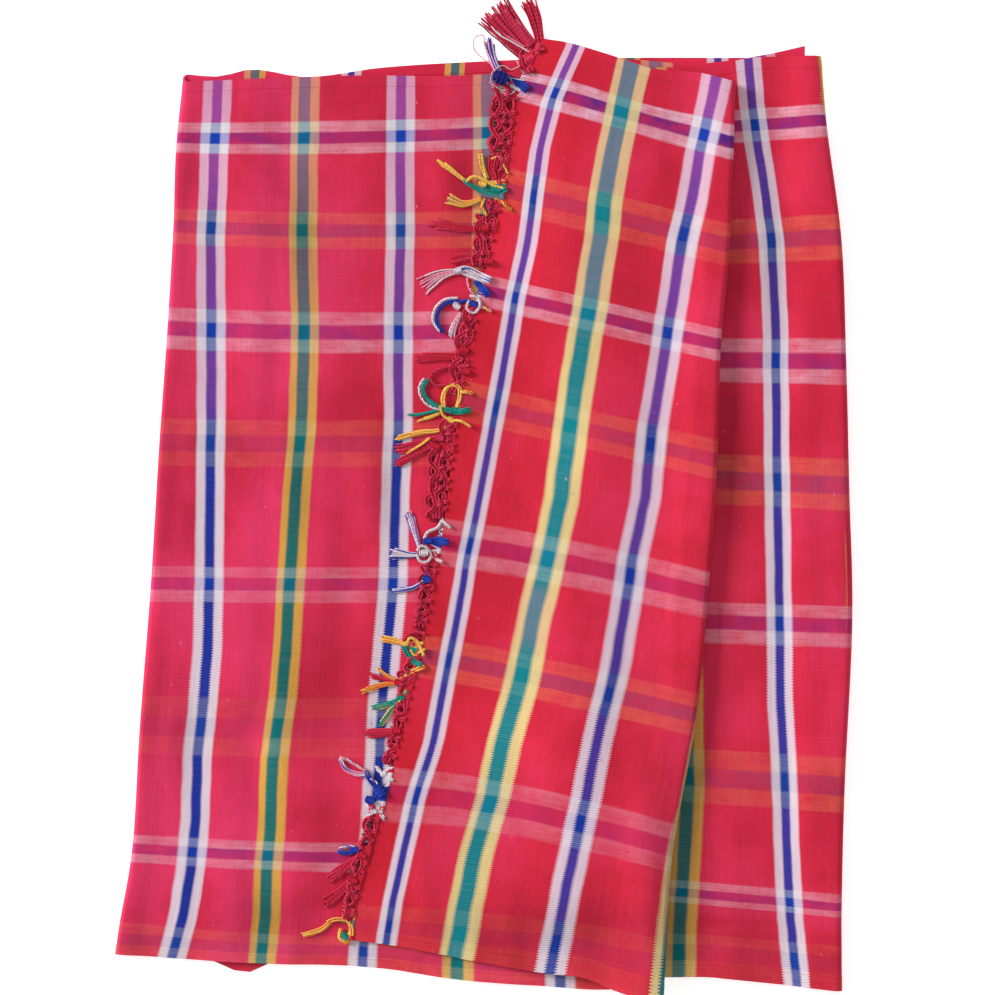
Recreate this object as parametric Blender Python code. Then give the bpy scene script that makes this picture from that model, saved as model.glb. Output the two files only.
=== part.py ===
"""A plaid blanket folded into five layers and laid flat, with a knotted fringe along its top layer's end.

The blanket is one sheet. From its fringed end it runs right to fold 1, back left to the hidden
fold 2, right to fold 3, left along the floor to fold 4, and right again to its plain end.
+X is right, +Y is towards the top hem and +Z is up. The floor is Z = 0. Tables are in millimetres.
"""

import math

import bmesh
import bpy
import numpy as np

MM = 0.001

# The sheet
CLOTH = 1.8
HEM_EXTRA = 0.6
HEM_WIDE = 11.0
LOOM_WIDTH = 928.0

# Height of the middle of each layer above the floor
LAYER_STEP = 3.5
FLOOR_LAYER = CLOTH / 2
LEFT_PANEL = FLOOR_LAYER + LAYER_STEP
RIGHT_PANEL = LEFT_PANEL + LAYER_STEP
PLEAT_INSIDE = RIGHT_PANEL + LAYER_STEP
OVERLAP = PLEAT_INSIDE + LAYER_STEP

# How far the cloth stands up beside each round fold, and how far back that swelling reaches
PUFF = {"fold1": (6.5, 30.0), "fold3": (4.5, 26.0), "fold4": (4.5, 26.0)}

# Sections across the blanket, one at each band that the crosswise yarns make
SECTION_V = (0, 57, 155, 258, 372, 517, 645, 778, 905, 928)

# Where each end, fold or guide line meets those sections
LINES = {
    "fringed_end": {
        "x": (59, 38, 19.5, -2, -23.5, -43, -64.5, -97.5, -131.5, -132),
        "y": (458.5, 412.5, 307.5, 207.5, 97.5, -44.5, -157.5, -295.5, -427.5, -442.5),
    },
    "fold1": {
        "x": (251, 249.5, 245.5, 236.5, 233, 223.5, 212, 188.5, 181, 179),
        "y": (413.5, 352.5, 250.5, 151.5, 36.5, -100.5, -218.5, -354.5, -470.5, -505.5),
    },
    "fold2": {
        "x": (94, 95, 96, 98, 100, 102, 104, 106, 107, 108),
        "y": (431.5, 361.5, 247.5, 139.5, 24.5, -120.5, -272.5, -386.5, -452.5, -480.5),
    },
    "fold3": {
        "x": (337, 342.5, 357.5, 362.5, 365.5, 368.5, 361, 358, 358, 358),
        "y": (440.5, 376.5, 260.5, 135.5, 11.5, -128.5, -288.5, -409.5, -467.5, -493.5),
    },
    "fold4": {
        "x": (-301, -307.5, -311, -317, -325, -333.5, -344.5, -352.2, -367, -369),
        "y": (415.5, 359.5, 271.5, 169.5, 55.5, -85.5, -227.5, -350.5, -440.5, -456.5),
    },
    "left_middle": {
        "x": (-4, -4, -4, -4, -4, -4, -4, -4, -4, -4),
        "y": (422.5, 364.5, 268.5, 166.5, 55.5, -85.5, -227.5, -359.5, -464.5, -483.5),
    },
    "plain_end": {
        "x": (321, 320, 318, 316, 313, 310, 307, 304, 302, 301),
        "y": (451.5, 394.5, 292.5, 187.5, 72.5, -74.5, -202.5, -337.5, -450.5, -474.5),
    },
}

# Each layer in the order of the sheet: the line it leaves, the line it reaches, its guide, its steps
LAYERS = {
    "overlap": {"start": "fringed_end", "end": "fold1", "guide": None, "steps": 9},
    "pleat": {"start": "fold1", "end": "fold2", "guide": None, "steps": 3},
    "right": {"start": "fold2", "end": "fold3", "guide": None, "steps": 7},
    "back": {"start": "fold3", "end": "fold4", "guide": None, "steps": 11},
    "left": {"start": "fold4", "end": "plain_end", "guide": "left_middle", "steps": 17},
}

# Where the hems wander from the straight line between two folds: x, y along each hem
TOP_HEMS = {
    "overlap": ((59, 458.5), (80, 455), (122, 442.5), (169, 427.5), (214, 423.5), (251, 413.5)),
    "right": ((94, 431.5), (240, 434), (262, 438.5), (307, 440.5), (337, 440.5)),
    "back": ((-301, 424), (-262, 422), (-239, 428), (-179, 421), (-106, 430), (6, 437), (337, 440.5)),
    "left": ((-301, 415.5), (-154, 421.5), (-4, 423), (140, 438), (214, 434), (287, 444), (321, 451.5)),
}
BOTTOM_HEMS = {
    "overlap": ((-132, -442.5), (-89, -448), (-7, -463.5), (58, -474.5), (105, -481), (128, -491), (179, -505.5)),
    "right": ((108, -480.5), (182, -479.5), (226, -479.5), (296, -486.5), (358, -493.5)),
    "back": ((-369, -456.5), (-284, -459), (-234, -475), (-209, -463), (100, -470), (358, -493.5)),
    "left": ((-369, -456.5), (-246, -465), (-90, -472.5), (-39, -480.5), (58, -488.5), (130, -492), (205, -474.5), (301, -474.5)),
}
HEM_FADE = 70.0

# Soft ridges in the laid cloth: from x, y to x, y, half width, height
RIDGES = {
    "left_panel_ridge": (-229, 405, -262, -455, 26, 3.2),
    "left_panel_swell": (-150, 60, -190, -450, 24, 2.2),
    "left_panel_top": (-105, 415, -120, 250, 22, 2.0),
    "overlap_swell": (150, 400, 30, -450, 48, 2.6),
    "right_panel_ridge": (322, 420, 325, -480, 17, 2.8),
    "right_panel_foot": (245, -300, 250, -480, 20, 2.0),
    "foot_ruffle_1": (-45, -495, -52, -425, 11, 1.7),
    "foot_ruffle_2": (-5, -498, -14, -440, 11, 1.5),
    "foot_ruffle_3": (34, -500, 28, -440, 11, 1.3),
}
RIDGE_SHARE = {"overlap": 1.0, "pleat": 1.0, "right": 1.0, "back": 0.0, "left": 0.7}

# Points along each section's length and in each fold
HEM_STEPS = (0, 5, 14, 30)
LONG_STEPS = 20
FOLD_STEPS = {"fold1": 6, "fold2": 4, "fold3": 5, "fold4": 6}

# The fringe: a heading strip, legs down to the knots, and locks of yarn beyond them
PARTING = 0.5
HEADING_WIDE = 2.6
HEADING_THICK = 1.8
LEG_HALF = 1.0
LEG_SPREAD = 4.2
LEG_APART = 3.4
KNOT_HALF = 3.0
KNOT_PROFILE = ((-1.0, 0.55), (-0.4, 1.0), (0.0, 0.8), (0.4, 1.0), (1.0, 0.6))
LOCK_HALF = 1.0
LOCK_TIP = 0.75
LIE_CLEAR = 0.6

# Each tassel: knot x, y, tip x, y, sideways bow, locks, spread of the tips
TASSELS = {
    "corner_up": (49, 462.5, 41, 503, 1, 3, 6),
    "corner_left": (38, 455, 14, 500, -1, 3, 6),
    "corner_bundle": (30, 440, -2, 476, 1, 3, 6),
    "blue_head": (16, 416, 1, 447, 1, 3, 3),
    "green_high": (-6, 315, -46, 337, -3, 3, 5),
    "green_low": (-10, 299, -40, 300, 2, 3, 6),
    "red_first": (-14, 264, -58, 279, 3, 4, 12),
    "white_fan": (-11, 219, -66, 213, 4, 4, 15),
    "blue_crescent": (-19, 192, -44, 174, -3, 2, 3),
    "red_second": (-27, 147.5, -69, 141, 2, 3, 7),
    "red_loops": (-31, 125, -54, 127, 3, 3, 6),
    "green_hook": (-37, 95, -60, 112, -6, 2, 2),
    "green_tail": (-43, 81, -79, 80, -2, 3, 4),
    "yellow_tail": (-46, 68, -90, 61, 2, 3, 4),
    "red_pair_high": (-50, 55, -91, 46, 2, 3, 6),
    "red_pair_low": (-54, 42, -92, 29, -2, 3, 6),
    "white_up": (-56, -43, -75, -10, 2, 3, 3),
    "white_left": (-66, -57, -97, -59, -2, 3, 7),
    "blue_hook": (-62, -80, -95, -90, 3, 2, 3),
    "yellow_short": (-74, -145, -107, -140, 3, 3, 6),
    "orange_fan": (-80, -172, -123, -184, -1, 3, 9),
    "green_short": (-88, -196, -114, -213, -1, 2, 5),
    "red_short": (-97, -235, -124, -235, 1, 3, 5),
    "pink_loop": (-104, -275, -144, -266, 3, 3, 7),
    "blue_cluster": (-110, -297, -130, -307, 0, 2, 4),
    "blue_low": (-121, -343, -146, -352, 2, 2, 3),
    "red_third": (-129, -359, -157, -373, 1, 3, 6),
    "red_fourth": (-136, -389, -163, -411, -1, 3, 7),
    "yellow_last": (-141, -429, -184, -435, 2, 3, 5),
}

# Netted stretches: v from and to, knots beside the cloth and their reach, knots outside and their reach
NETTING = {
    "below_blue_head": (64, 120, 3, 10, 3, 22),
    "below_green": (214, 240, 2, 9, 0, 20),
    "below_red_pair": (436, 500, 4, 8, 3, 17),
    "above_yellow_short": (560, 612, 2, 8, 0, 16),
    "above_pink_loop": (729, 741, 1, 8, 0, 16),
    "below_blue_cluster": (795, 812, 1, 8, 0, 16),
}


def clear_scene():
    for found in list(bpy.data.objects):
        bpy.data.objects.remove(found, do_unlink=True)


def curve_through(stations, values, at):
    """A smooth curve through a table's values, read at the given stations."""
    stations = np.asarray(stations, float)
    values = np.asarray(values, float)
    at = np.clip(np.asarray(at, float), stations[0], stations[-1])
    steps = np.diff(stations)
    rises = np.diff(values) / steps
    slopes = np.empty_like(values)
    slopes[0] = rises[0]
    slopes[-1] = rises[-1]
    slopes[1:-1] = (rises[:-1] * steps[1:] + rises[1:] * steps[:-1]) / (steps[:-1] + steps[1:])
    k = np.clip(np.searchsorted(stations, at, side="right") - 1, 0, len(steps) - 1)
    t = (at - stations[k]) / steps[k]
    start = values[k] * (1 + 2 * t) * (1 - t) ** 2 + steps[k] * slopes[k] * t * (1 - t) ** 2
    finish = values[k + 1] * t**2 * (3 - 2 * t) + steps[k] * slopes[k + 1] * t**2 * (t - 1)
    return start + finish


def ease(t):
    t = np.clip(t, 0.0, 1.0)
    return t * t * (3 - 2 * t)


def line_at(name, v):
    table = LINES[name]
    return curve_through(SECTION_V, table["x"], v), curve_through(SECTION_V, table["y"], v)


def cloth_thickness(v):
    from_hem = np.minimum(v, LOOM_WIDTH - v)
    return CLOTH + HEM_EXTRA * (1 - ease((from_hem - HEM_WIDE) / 4.0))


def ridges_at(x, y):
    """Height that the soft ridges add at a place on the blanket."""
    total = np.zeros(np.broadcast(x, y).shape)
    for x0, y0, x1, y1, half, high in RIDGES.values():
        length = math.hypot(x1 - x0, y1 - y0)
        along = ((x - x0) * (x1 - x0) + (y - y0) * (y1 - y0)) / length
        off = ((x - x0) * (y1 - y0) - (y - y0) * (x1 - x0)) / length
        past = np.maximum(np.maximum(-along, along - length), 0.0)
        total = total + high * np.exp(-((off / half) ** 2) - (past / (2.5 * half)) ** 2)
    return total


def hem_line(layer, x, y, v):
    """y with the layer's hems wandering as laid, fading towards the middle of the blanket."""
    shape = LAYERS[layer]
    for hems, edge_v, from_edge in ((TOP_HEMS, 0.0, v), (BOTTOM_HEMS, LOOM_WIDTH, LOOM_WIDTH - v)):
        if layer not in hems:
            continue
        points = np.array(hems[layer], float)
        edge_y = straight_y(shape, x, np.full_like(v, edge_v))
        wander = curve_through(points[:, 0], points[:, 1], x) - edge_y
        y = y + wander * (1 - ease(from_edge / HEM_FADE))
    return y


def straight_y(shape, x, v):
    """y on the line, or the bowed line past a guide, between the layer's two ends."""
    x0, y0 = line_at(shape["start"], v)
    x1, y1 = line_at(shape["end"], v)
    if shape["guide"] is None:
        return y0 + (y1 - y0) * (x - x0) / (x1 - x0)
    xg, yg = line_at(shape["guide"], v)
    near_start = (x - xg) * (x - x1) / ((x0 - xg) * (x0 - x1))
    near_guide = (x - x0) * (x - x1) / ((xg - x0) * (xg - x1))
    near_end = (x - x0) * (x - xg) / ((x1 - x0) * (x1 - xg))
    return y0 * near_start + yg * near_guide + y1 * near_end


def puff(fold, x, v):
    high, wide = PUFF[fold]
    fold_x, _ = line_at(fold, v)
    away = np.maximum(np.abs(x - fold_x) - high, 0.0)
    return high * np.exp(-((away / wide) ** 2))


def layer_height(layer, x, y, v):
    """Height of the middle of a layer."""
    if layer == "back":
        return cloth_thickness(v) / 2 + 0 * x
    if layer == "left":
        z = LEFT_PANEL + puff("fold4", x, v)
    elif layer == "right":
        z = RIGHT_PANEL + puff("fold3", x, v)
    elif layer == "pleat":
        z = PLEAT_INSIDE + 0 * x
    else:
        inner_x, _ = line_at("fold2", v)
        on_pleat = ease((x - inner_x + 75) / 68)
        z = RIGHT_PANEL + (OVERLAP - RIGHT_PANEL) * on_pleat + puff("fold1", x, v)
        past_hem = ease((y - 425) / 34) * (1 - ease((x - 70) / 70))
        z = z - 4.4 * past_hem
    return z + RIDGE_SHARE[layer] * ridges_at(x, y)


def section_stations():
    """Distances along the loom width where the sheet is measured, closer near the hems."""
    middle = np.linspace(HEM_STEPS[-1], LOOM_WIDTH - HEM_STEPS[-1], LONG_STEPS + 1)
    ends = np.array(HEM_STEPS[:-1], float)
    return np.concatenate([ends, middle, LOOM_WIDTH - ends[::-1]])


def fold_heights(fold, lower, upper, v):
    """Heights of the two layers where they run into a fold, and the fold's half depth."""
    x, _ = line_at(fold, v)
    heights = []
    for layer in (lower, upper):
        y = hem_line(layer, x, straight_y(LAYERS[layer], x, v), v)
        heights.append(layer_height(layer, x, y, v))
    return heights[0], heights[1], (heights[1] - heights[0]) / 2


FOLDS = {
    "fold1": {"lower": "pleat", "upper": "overlap", "side": 1},
    "fold2": {"lower": "right", "upper": "pleat", "side": -1},
    "fold3": {"lower": "back", "upper": "right", "side": 1},
    "fold4": {"lower": "back", "upper": "left", "side": -1},
}


def end_x(line, v):
    """x where a layer's run stops: at a free end, or where its fold's round part starts."""
    x, _ = line_at(line, v)
    if line not in FOLDS:
        return x
    fold = FOLDS[line]
    depth = fold_heights(line, fold["lower"], fold["upper"], v)[2]
    return x - fold["side"] * (depth + CLOTH / 2)


def layer_points(layer, v):
    shape = LAYERS[layer]
    x0 = end_x(shape["start"], v)
    x1 = end_x(shape["end"], v)
    columns = []
    for i in range(shape["steps"] + 1):
        x = x0 + (x1 - x0) * i / shape["steps"]
        y = hem_line(layer, x, straight_y(shape, x, v), v)
        z = layer_height(layer, x, y, v)
        columns.append(np.stack([x, y, z], axis=1))
    return columns


def fold_points(fold, before, after, v):
    """The round turn between the last column of one layer and the first of the next."""
    side = FOLDS[fold]["side"]
    x, _ = line_at(fold, v)
    reach = np.abs(x - side * CLOTH / 2 - before[:, 0])
    steps = FOLD_STEPS[fold]
    columns = []
    for i in range(1, steps):
        turn = math.pi * i / steps
        share = (1 - math.cos(turn)) / 2
        column = before + (after - before) * share
        column[:, 0] = before[:, 0] + side * reach * math.sin(turn)
        columns.append(column)
    return columns


def sheet_grid(v):
    """The middle of the sheet as a grid of points: sections by columns along the sheet."""
    columns = []
    names = list(LAYERS)
    for i, layer in enumerate(names):
        points = layer_points(layer, v)
        columns.extend(points)
        if i + 1 < len(names):
            after = layer_points(names[i + 1], v)[0]
            columns.extend(fold_points(LAYERS[layer]["end"], points[-1], after, v))
    return np.stack(columns, axis=1)


def grid_normals(grid):
    along = np.gradient(grid, axis=1)
    down = np.gradient(grid, axis=0)
    normals = np.cross(down, along)
    return normals / np.linalg.norm(normals, axis=2, keepdims=True)


def cloth_mesh(name):
    v = section_stations()
    grid = sheet_grid(v)
    half = (cloth_thickness(v) / 2)[:, None, None]
    normals = grid_normals(grid)
    face_side = grid + normals * half
    other_side = grid - normals * half
    rows, columns = grid.shape[:2]
    points = np.concatenate([face_side.reshape(-1, 3), other_side.reshape(-1, 3)])
    points[:, 2] = np.where(points[:, 2] < 0.3, 0.0, points[:, 2])
    count = rows * columns

    def place(r, c, side):
        return side * count + r * columns + c

    faces = []
    for r in range(rows - 1):
        for c in range(columns - 1):
            corners = [(r, c), (r + 1, c), (r + 1, c + 1), (r, c + 1)]
            faces.append([place(i, j, 0) for i, j in corners])
            faces.append([place(i, j, 1) for i, j in reversed(corners)])
    for r in range(rows - 1):
        for c in (0, columns - 1):
            rim = [place(r, c, 0), place(r, c, 1), place(r + 1, c, 1), place(r + 1, c, 0)]
            faces.append(rim if c == 0 else rim[::-1])
    for c in range(columns - 1):
        for r in (0, rows - 1):
            rim = [place(r, c, 0), place(r, c + 1, 0), place(r, c + 1, 1), place(r, c, 1)]
            faces.append(rim if r == 0 else rim[::-1])
    mesh = bpy.data.meshes.new(name)
    mesh.from_pydata((points * MM).tolist(), [], faces)
    tidy = bmesh.new()
    tidy.from_mesh(mesh)
    bmesh.ops.triangulate(tidy, faces=tidy.faces)
    bmesh.ops.recalc_face_normals(tidy, faces=tidy.faces)
    tidy.to_mesh(mesh)
    tidy.free()
    return mesh


def under_fringe(x, y):
    """Height of what the fringe lies on: the left panel, or the floor past its top hem."""
    v = np.clip(np.interp(y, LINES["left_middle"]["y"][::-1], SECTION_V[::-1]), 0, LOOM_WIDTH)
    on_panel = layer_height("left", np.array([x]), np.array([y]), np.array([v]))[0] + CLOTH / 2
    hem = np.array(TOP_HEMS["left"], float)
    past = y - curve_through(hem[:, 0], hem[:, 1], x)
    return float(on_panel + LIE_CLEAR) * float(1 - ease((past - 7) / 16))


def ring_of(shape, place, ahead, wide, high):
    """Four new corners around a place on a strand: two below, two above."""
    across = np.array([-ahead[1], ahead[0], 0.0])
    corners = ((-wide, -high), (wide, -high), (wide, high), (-wide, high))
    return [shape.verts.new((place + across * w + np.array([0, 0, h])) * MM) for w, h in corners]


def run_strand(shape, first, places, sizes):
    """A four-sided strand from a ring of corners through the given places, closed at its end."""
    here = first
    for i, place in enumerate(places):
        back = places[i - 1] if i else None
        ahead = place[:2] - (back[:2] if back is not None else centre_of(first)[:2])
        if i + 1 < len(places):
            ahead = ahead / np.linalg.norm(ahead)
            onward = places[i + 1][:2] - place[:2]
            ahead = ahead + onward / np.linalg.norm(onward)
        ahead = ahead / np.linalg.norm(ahead)
        there = ring_of(shape, place, ahead, sizes[i], sizes[i] * 0.85)
        for k in range(4):
            shape.faces.new((here[k], here[(k + 1) % 4], there[(k + 1) % 4], there[k]))
        here = there
    shape.faces.new(here)


def centre_of(ring):
    return sum((np.array(corner.co) for corner in ring), np.zeros(3)) / len(ring) / MM


def new_piece(name, build):
    """A closed mesh object from a function that fills a bmesh."""
    shape = bmesh.new()
    build(shape)
    bmesh.ops.triangulate(shape, faces=shape.faces)
    bmesh.ops.recalc_face_normals(shape, faces=shape.faces)
    mesh = bpy.data.meshes.new(name)
    shape.to_mesh(mesh)
    shape.free()
    piece = bpy.data.objects.new(name, mesh)
    return piece


def edge_place(v, out):
    """A place beside the fringed end: at v along it, out from it, with the heading's height."""
    v = float(np.clip(v, 3.0, LOOM_WIDTH - 3.0))
    stations = np.array([v - 1.0, v, v + 1.0])
    x, y = line_at("fringed_end", stations)
    y = hem_line("overlap", x, y, stations)
    way = np.array([x[2] - x[0], y[2] - y[0]])
    way = way / np.linalg.norm(way)
    outward = np.array([way[1], -way[0]])
    if outward[0] > 0:
        outward = -outward
    place = np.array([x[1], y[1]]) + outward * out
    height = layer_height("overlap", x[1:2], y[1:2], stations[1:2])[0]
    return place[0], place[1], float(height)


def nearest_v(x, y):
    stations = np.linspace(4, LOOM_WIDTH - 4, 400)
    ex, ey = line_at("fringed_end", stations)
    return float(stations[np.argmin((ex - x) ** 2 + (ey - y) ** 2)])


def heading(shape, legs):
    """The strip beside the fringed end, with a leg running out of it to each waiting mouth."""
    legs = sorted(legs, key=lambda leg: leg[0])
    roots = []
    for v, _ in legs:
        least = roots[-1] + LEG_APART if roots else 8.0
        roots.append(max(v, least))
    for i in range(len(roots) - 2, -1, -1):
        roots[i] = min(roots[i], roots[i + 1] - LEG_APART)
    starts = {round(v - LEG_HALF, 3): legs[i][1] for i, v in enumerate(roots)}
    ends = {round(v + LEG_HALF, 3) for v in roots}
    stations = set(starts) | ends
    for v in section_stations()[1:-1]:
        if min(abs(v - root) for root in roots) > LEG_HALF + 0.8:
            stations.add(round(float(v), 3))
    out = PARTING + HEADING_WIDE / 2
    rings = []
    for v in sorted(stations):
        ring = []
        for side, lift in ((-1, -1), (1, -1), (1, 1), (-1, 1)):
            x, y, z = edge_place(v, out + side * HEADING_WIDE / 2)
            ring.append(shape.verts.new(np.array([x, y, z + lift * HEADING_THICK / 2]) * MM))
        rings.append((v, ring))
    for (v, here), (_, there) in zip(rings[:-1], rings[1:]):
        for k in range(4):
            if k == 1 and v in starts:
                bridge(shape, [here[1], there[1], there[2], here[2]], starts[v])
            else:
                shape.faces.new((here[k], here[(k + 1) % 4], there[(k + 1) % 4], there[k]))
    shape.faces.new(rings[0][1][::-1])
    shape.faces.new(rings[-1][1])


def bridge(shape, first, second):
    """A short strand between two openings of four corners each."""
    for k in range(4):
        shape.faces.new((first[k], first[(k + 1) % 4], second[(k + 1) % 4], second[k]))


def lying(x, y, half):
    """A point of yarn that rests on what is under it."""
    return np.array([x, y, under_fringe(x, y) + half * 0.85])


def knot_rings(shape, centre, ahead, columns):
    """A ridged knot, lying along the way that its yarn runs: a ring of corners at each of its stations."""
    across = np.array([-ahead[1], ahead[0], 0.0])
    way = np.array([ahead[0], ahead[1], 0.0])
    rings = []
    for at, size in KNOT_PROFILE:
        below = []
        above = []
        for j in range(columns + 1):
            w = 2 * j / columns - 1
            round_off = 0.55 + 0.45 * math.cos(w * math.pi / 2)
            place = np.array(centre) + way * KNOT_HALF * at + across * KNOT_HALF * size * w
            lift = np.array([0, 0, KNOT_HALF * 0.8 * size * round_off])
            below.append(shape.verts.new((place - lift) * MM))
            above.append(shape.verts.new((place + lift) * MM))
        rings.append((below, above))
    for (low0, high0), (low1, high1) in zip(rings[:-1], rings[1:]):
        for j in range(columns):
            shape.faces.new((low0[j], low0[j + 1], low1[j + 1], low1[j]))
            shape.faces.new((high0[j], high1[j], high1[j + 1], high0[j + 1]))
        shape.faces.new((low0[0], low1[0], high1[0], high0[0]))
        shape.faces.new((low0[-1], high0[-1], high1[-1], low1[-1]))
    return rings


def mouth(ring, j):
    """The corners of one column at a knot's end, where a strand leaves."""
    below, above = ring
    return [below[j], below[j + 1], above[j + 1], above[j]]


def add_knot(shape, knot, ahead, locks, hanging=False):
    """A knot with locks running on from it. Gives its two leg mouths, and its two far ones if asked."""
    columns = max(2, len(locks))
    rings = knot_rings(shape, knot, ahead, columns)
    for j in range(1, columns - 1):
        shape.faces.new(mouth(rings[0], j)[::-1])
    for j, (places, sizes) in enumerate(locks):
        run_strand(shape, mouth(rings[-1], j), places, sizes)
    near = mouth(rings[0], 0), mouth(rings[0], columns - 1)
    far = mouth(rings[-1], 0), mouth(rings[-1], columns - 1)
    if not locks and not hanging:
        for opening in far:
            shape.faces.new(opening)
    return near, far


def lock_paths(knot, tip, bow, count, spread):
    """Places and sizes along each lock of a tassel, parted from the start."""
    reach = np.array(tip) - np.array(knot[:2])
    ahead = reach / np.linalg.norm(reach)
    start = np.array(knot[:2]) + ahead * KNOT_HALF
    reach = np.array(tip) - start
    across = np.array([-ahead[1], ahead[0]])
    locks = []
    for i in range(count):
        lean = (2 * i + 1) / count - 1
        shorter = 1 - 0.12 * (i % 2)
        places = []
        sizes = []
        for t in (0.3, 0.65, 1.0):
            along = start + reach * t * shorter
            off = bow * 4 * t * (1 - t) + lean * (KNOT_HALF + spread / 2 * t)
            place = along + across * off
            half = LOCK_HALF + (LOCK_TIP - LOCK_HALF) * t
            places.append(lying(place[0], place[1], half))
            sizes.append(half)
        locks.append((places, sizes))
    return ahead, locks


def knot_height(x, y, heading_z):
    rest = under_fringe(x, y) + KNOT_HALF * 0.8
    return max(rest, min(heading_z, 9.0) if rest > 4 else rest)


def add_tassel(shape, name):
    """One tassel. Gives the places on the heading where its legs start, with their mouths."""
    kx, ky, tx, ty, bow, count, spread = TASSELS[name]
    v = nearest_v(kx, ky)
    knot = (kx, ky, knot_height(kx, ky, edge_place(v, 0)[2]))
    ahead, locks = lock_paths(knot, (tx, ty), bow, count, spread)
    near, _ = add_knot(shape, knot, ahead, locks)
    return [(v - LEG_SPREAD, near[0]), (v + LEG_SPREAD, near[1])]


def add_net_knot(shape, v, out, hanging):
    x, y, z = edge_place(v, out)
    knot = np.array([x, y, knot_height(x, y, z)])
    further = np.array(edge_place(v, out + 5)[:2]) - knot[:2]
    return add_knot(shape, knot, further / np.linalg.norm(further), [], hanging)


def add_netting(shape, name):
    """Knots that hang from the heading, then knots that hang between two of those."""
    v0, v1, inner, reach, outer, far_out = NETTING[name]
    pitch = (v1 - v0) / inner
    legs = []
    inside = []
    for i in range(inner):
        v = v0 + pitch * (i + 0.5)
        near, far = add_net_knot(shape, v, reach, True)
        legs += [(v - LEG_SPREAD, near[0]), (v + LEG_SPREAD, near[1])]
        inside.append(list(far))
    for i in range(outer):
        near, _ = add_net_knot(shape, v0 + pitch * (i + 1.0), far_out, False)
        bridge(shape, near[0], inside[i][1])
        inside[i][1] = None
        if i + 1 < inner:
            bridge(shape, near[1], inside[i + 1][0])
            inside[i + 1][0] = None
        else:
            legs.append((v0 + pitch * inner + 2, near[1]))
    for openings in inside:
        for opening in openings:
            if opening is not None:
                shape.faces.new(opening)
    return legs


def fringe_shape(shape):
    legs = []
    for name in TASSELS:
        legs += add_tassel(shape, name)
    for name in NETTING:
        legs += add_netting(shape, name)
    heading(shape, legs)


def fabric(name, colour):
    material = bpy.data.materials.new(name)
    material.use_nodes = True
    look = material.node_tree.nodes["Principled BSDF"]
    look.inputs["Base Color"].default_value = (*colour, 1.0)
    look.inputs["Roughness"].default_value = 0.9
    look.inputs["Metallic"].default_value = 0.0
    return material


def main():
    clear_scene()
    cloth = bpy.data.objects.new("cloth", cloth_mesh("cloth"))
    bpy.context.scene.collection.objects.link(cloth)
    cloth.data.materials.append(fabric("red_plaid", (0.62, 0.04, 0.08)))
    fringe = new_piece("fringe", fringe_shape)
    bpy.context.scene.collection.objects.link(fringe)
    fringe.data.materials.append(fabric("red_yarn", (0.5, 0.03, 0.07)))
    for flat in (cloth, fringe):
        flat.data.shade_flat()


main()
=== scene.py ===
"""The looks of a plaid blanket, folded and laid flat, with a knotted fringe along its top end.

Tables are in millimetres, +X right and +Y towards the top hem. The blanket is one thin sheet.
A place in the weave is known by its distance along the sheet from the fringed end, and by v,
its distance across the loom from the top hem.
"""

import math

import bmesh
import bpy
import numpy as np
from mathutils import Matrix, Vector


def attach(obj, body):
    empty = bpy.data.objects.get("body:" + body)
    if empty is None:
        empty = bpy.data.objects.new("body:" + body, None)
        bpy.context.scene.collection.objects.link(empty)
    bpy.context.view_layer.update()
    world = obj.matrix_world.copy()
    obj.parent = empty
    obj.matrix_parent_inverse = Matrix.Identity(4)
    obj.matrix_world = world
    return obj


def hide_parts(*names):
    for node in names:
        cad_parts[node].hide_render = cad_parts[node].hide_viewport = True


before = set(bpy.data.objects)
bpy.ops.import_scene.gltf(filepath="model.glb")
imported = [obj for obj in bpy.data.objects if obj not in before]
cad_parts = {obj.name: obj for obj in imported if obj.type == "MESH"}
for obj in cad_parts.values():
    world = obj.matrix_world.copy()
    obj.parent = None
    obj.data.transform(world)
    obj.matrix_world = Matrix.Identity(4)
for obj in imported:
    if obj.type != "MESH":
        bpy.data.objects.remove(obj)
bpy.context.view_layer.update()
MM = 0.001
CHANCE = np.random.default_rng(7)

# The sheet
CLOTH = 1.8
HEM_EXTRA = 0.6
HEM_WIDE = 11.0
LOOM_WIDTH = 928.0

# Height of the middle of each layer above the floor
LAYER_STEP = 3.5
FLOOR_LAYER = CLOTH / 2
LEFT_PANEL = FLOOR_LAYER + LAYER_STEP
RIGHT_PANEL = LEFT_PANEL + LAYER_STEP
PLEAT_INSIDE = RIGHT_PANEL + LAYER_STEP
OVERLAP = PLEAT_INSIDE + LAYER_STEP

# How far the cloth stands up beside each round fold, and how far back that swelling reaches
PUFF = {"fold1": (6.5, 30.0), "fold3": (4.5, 26.0), "fold4": (4.5, 26.0)}

# Sections across the blanket, one at each band that the crosswise yarns make
SECTION_V = (0, 57, 155, 258, 372, 517, 645, 778, 905, 928)

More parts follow.
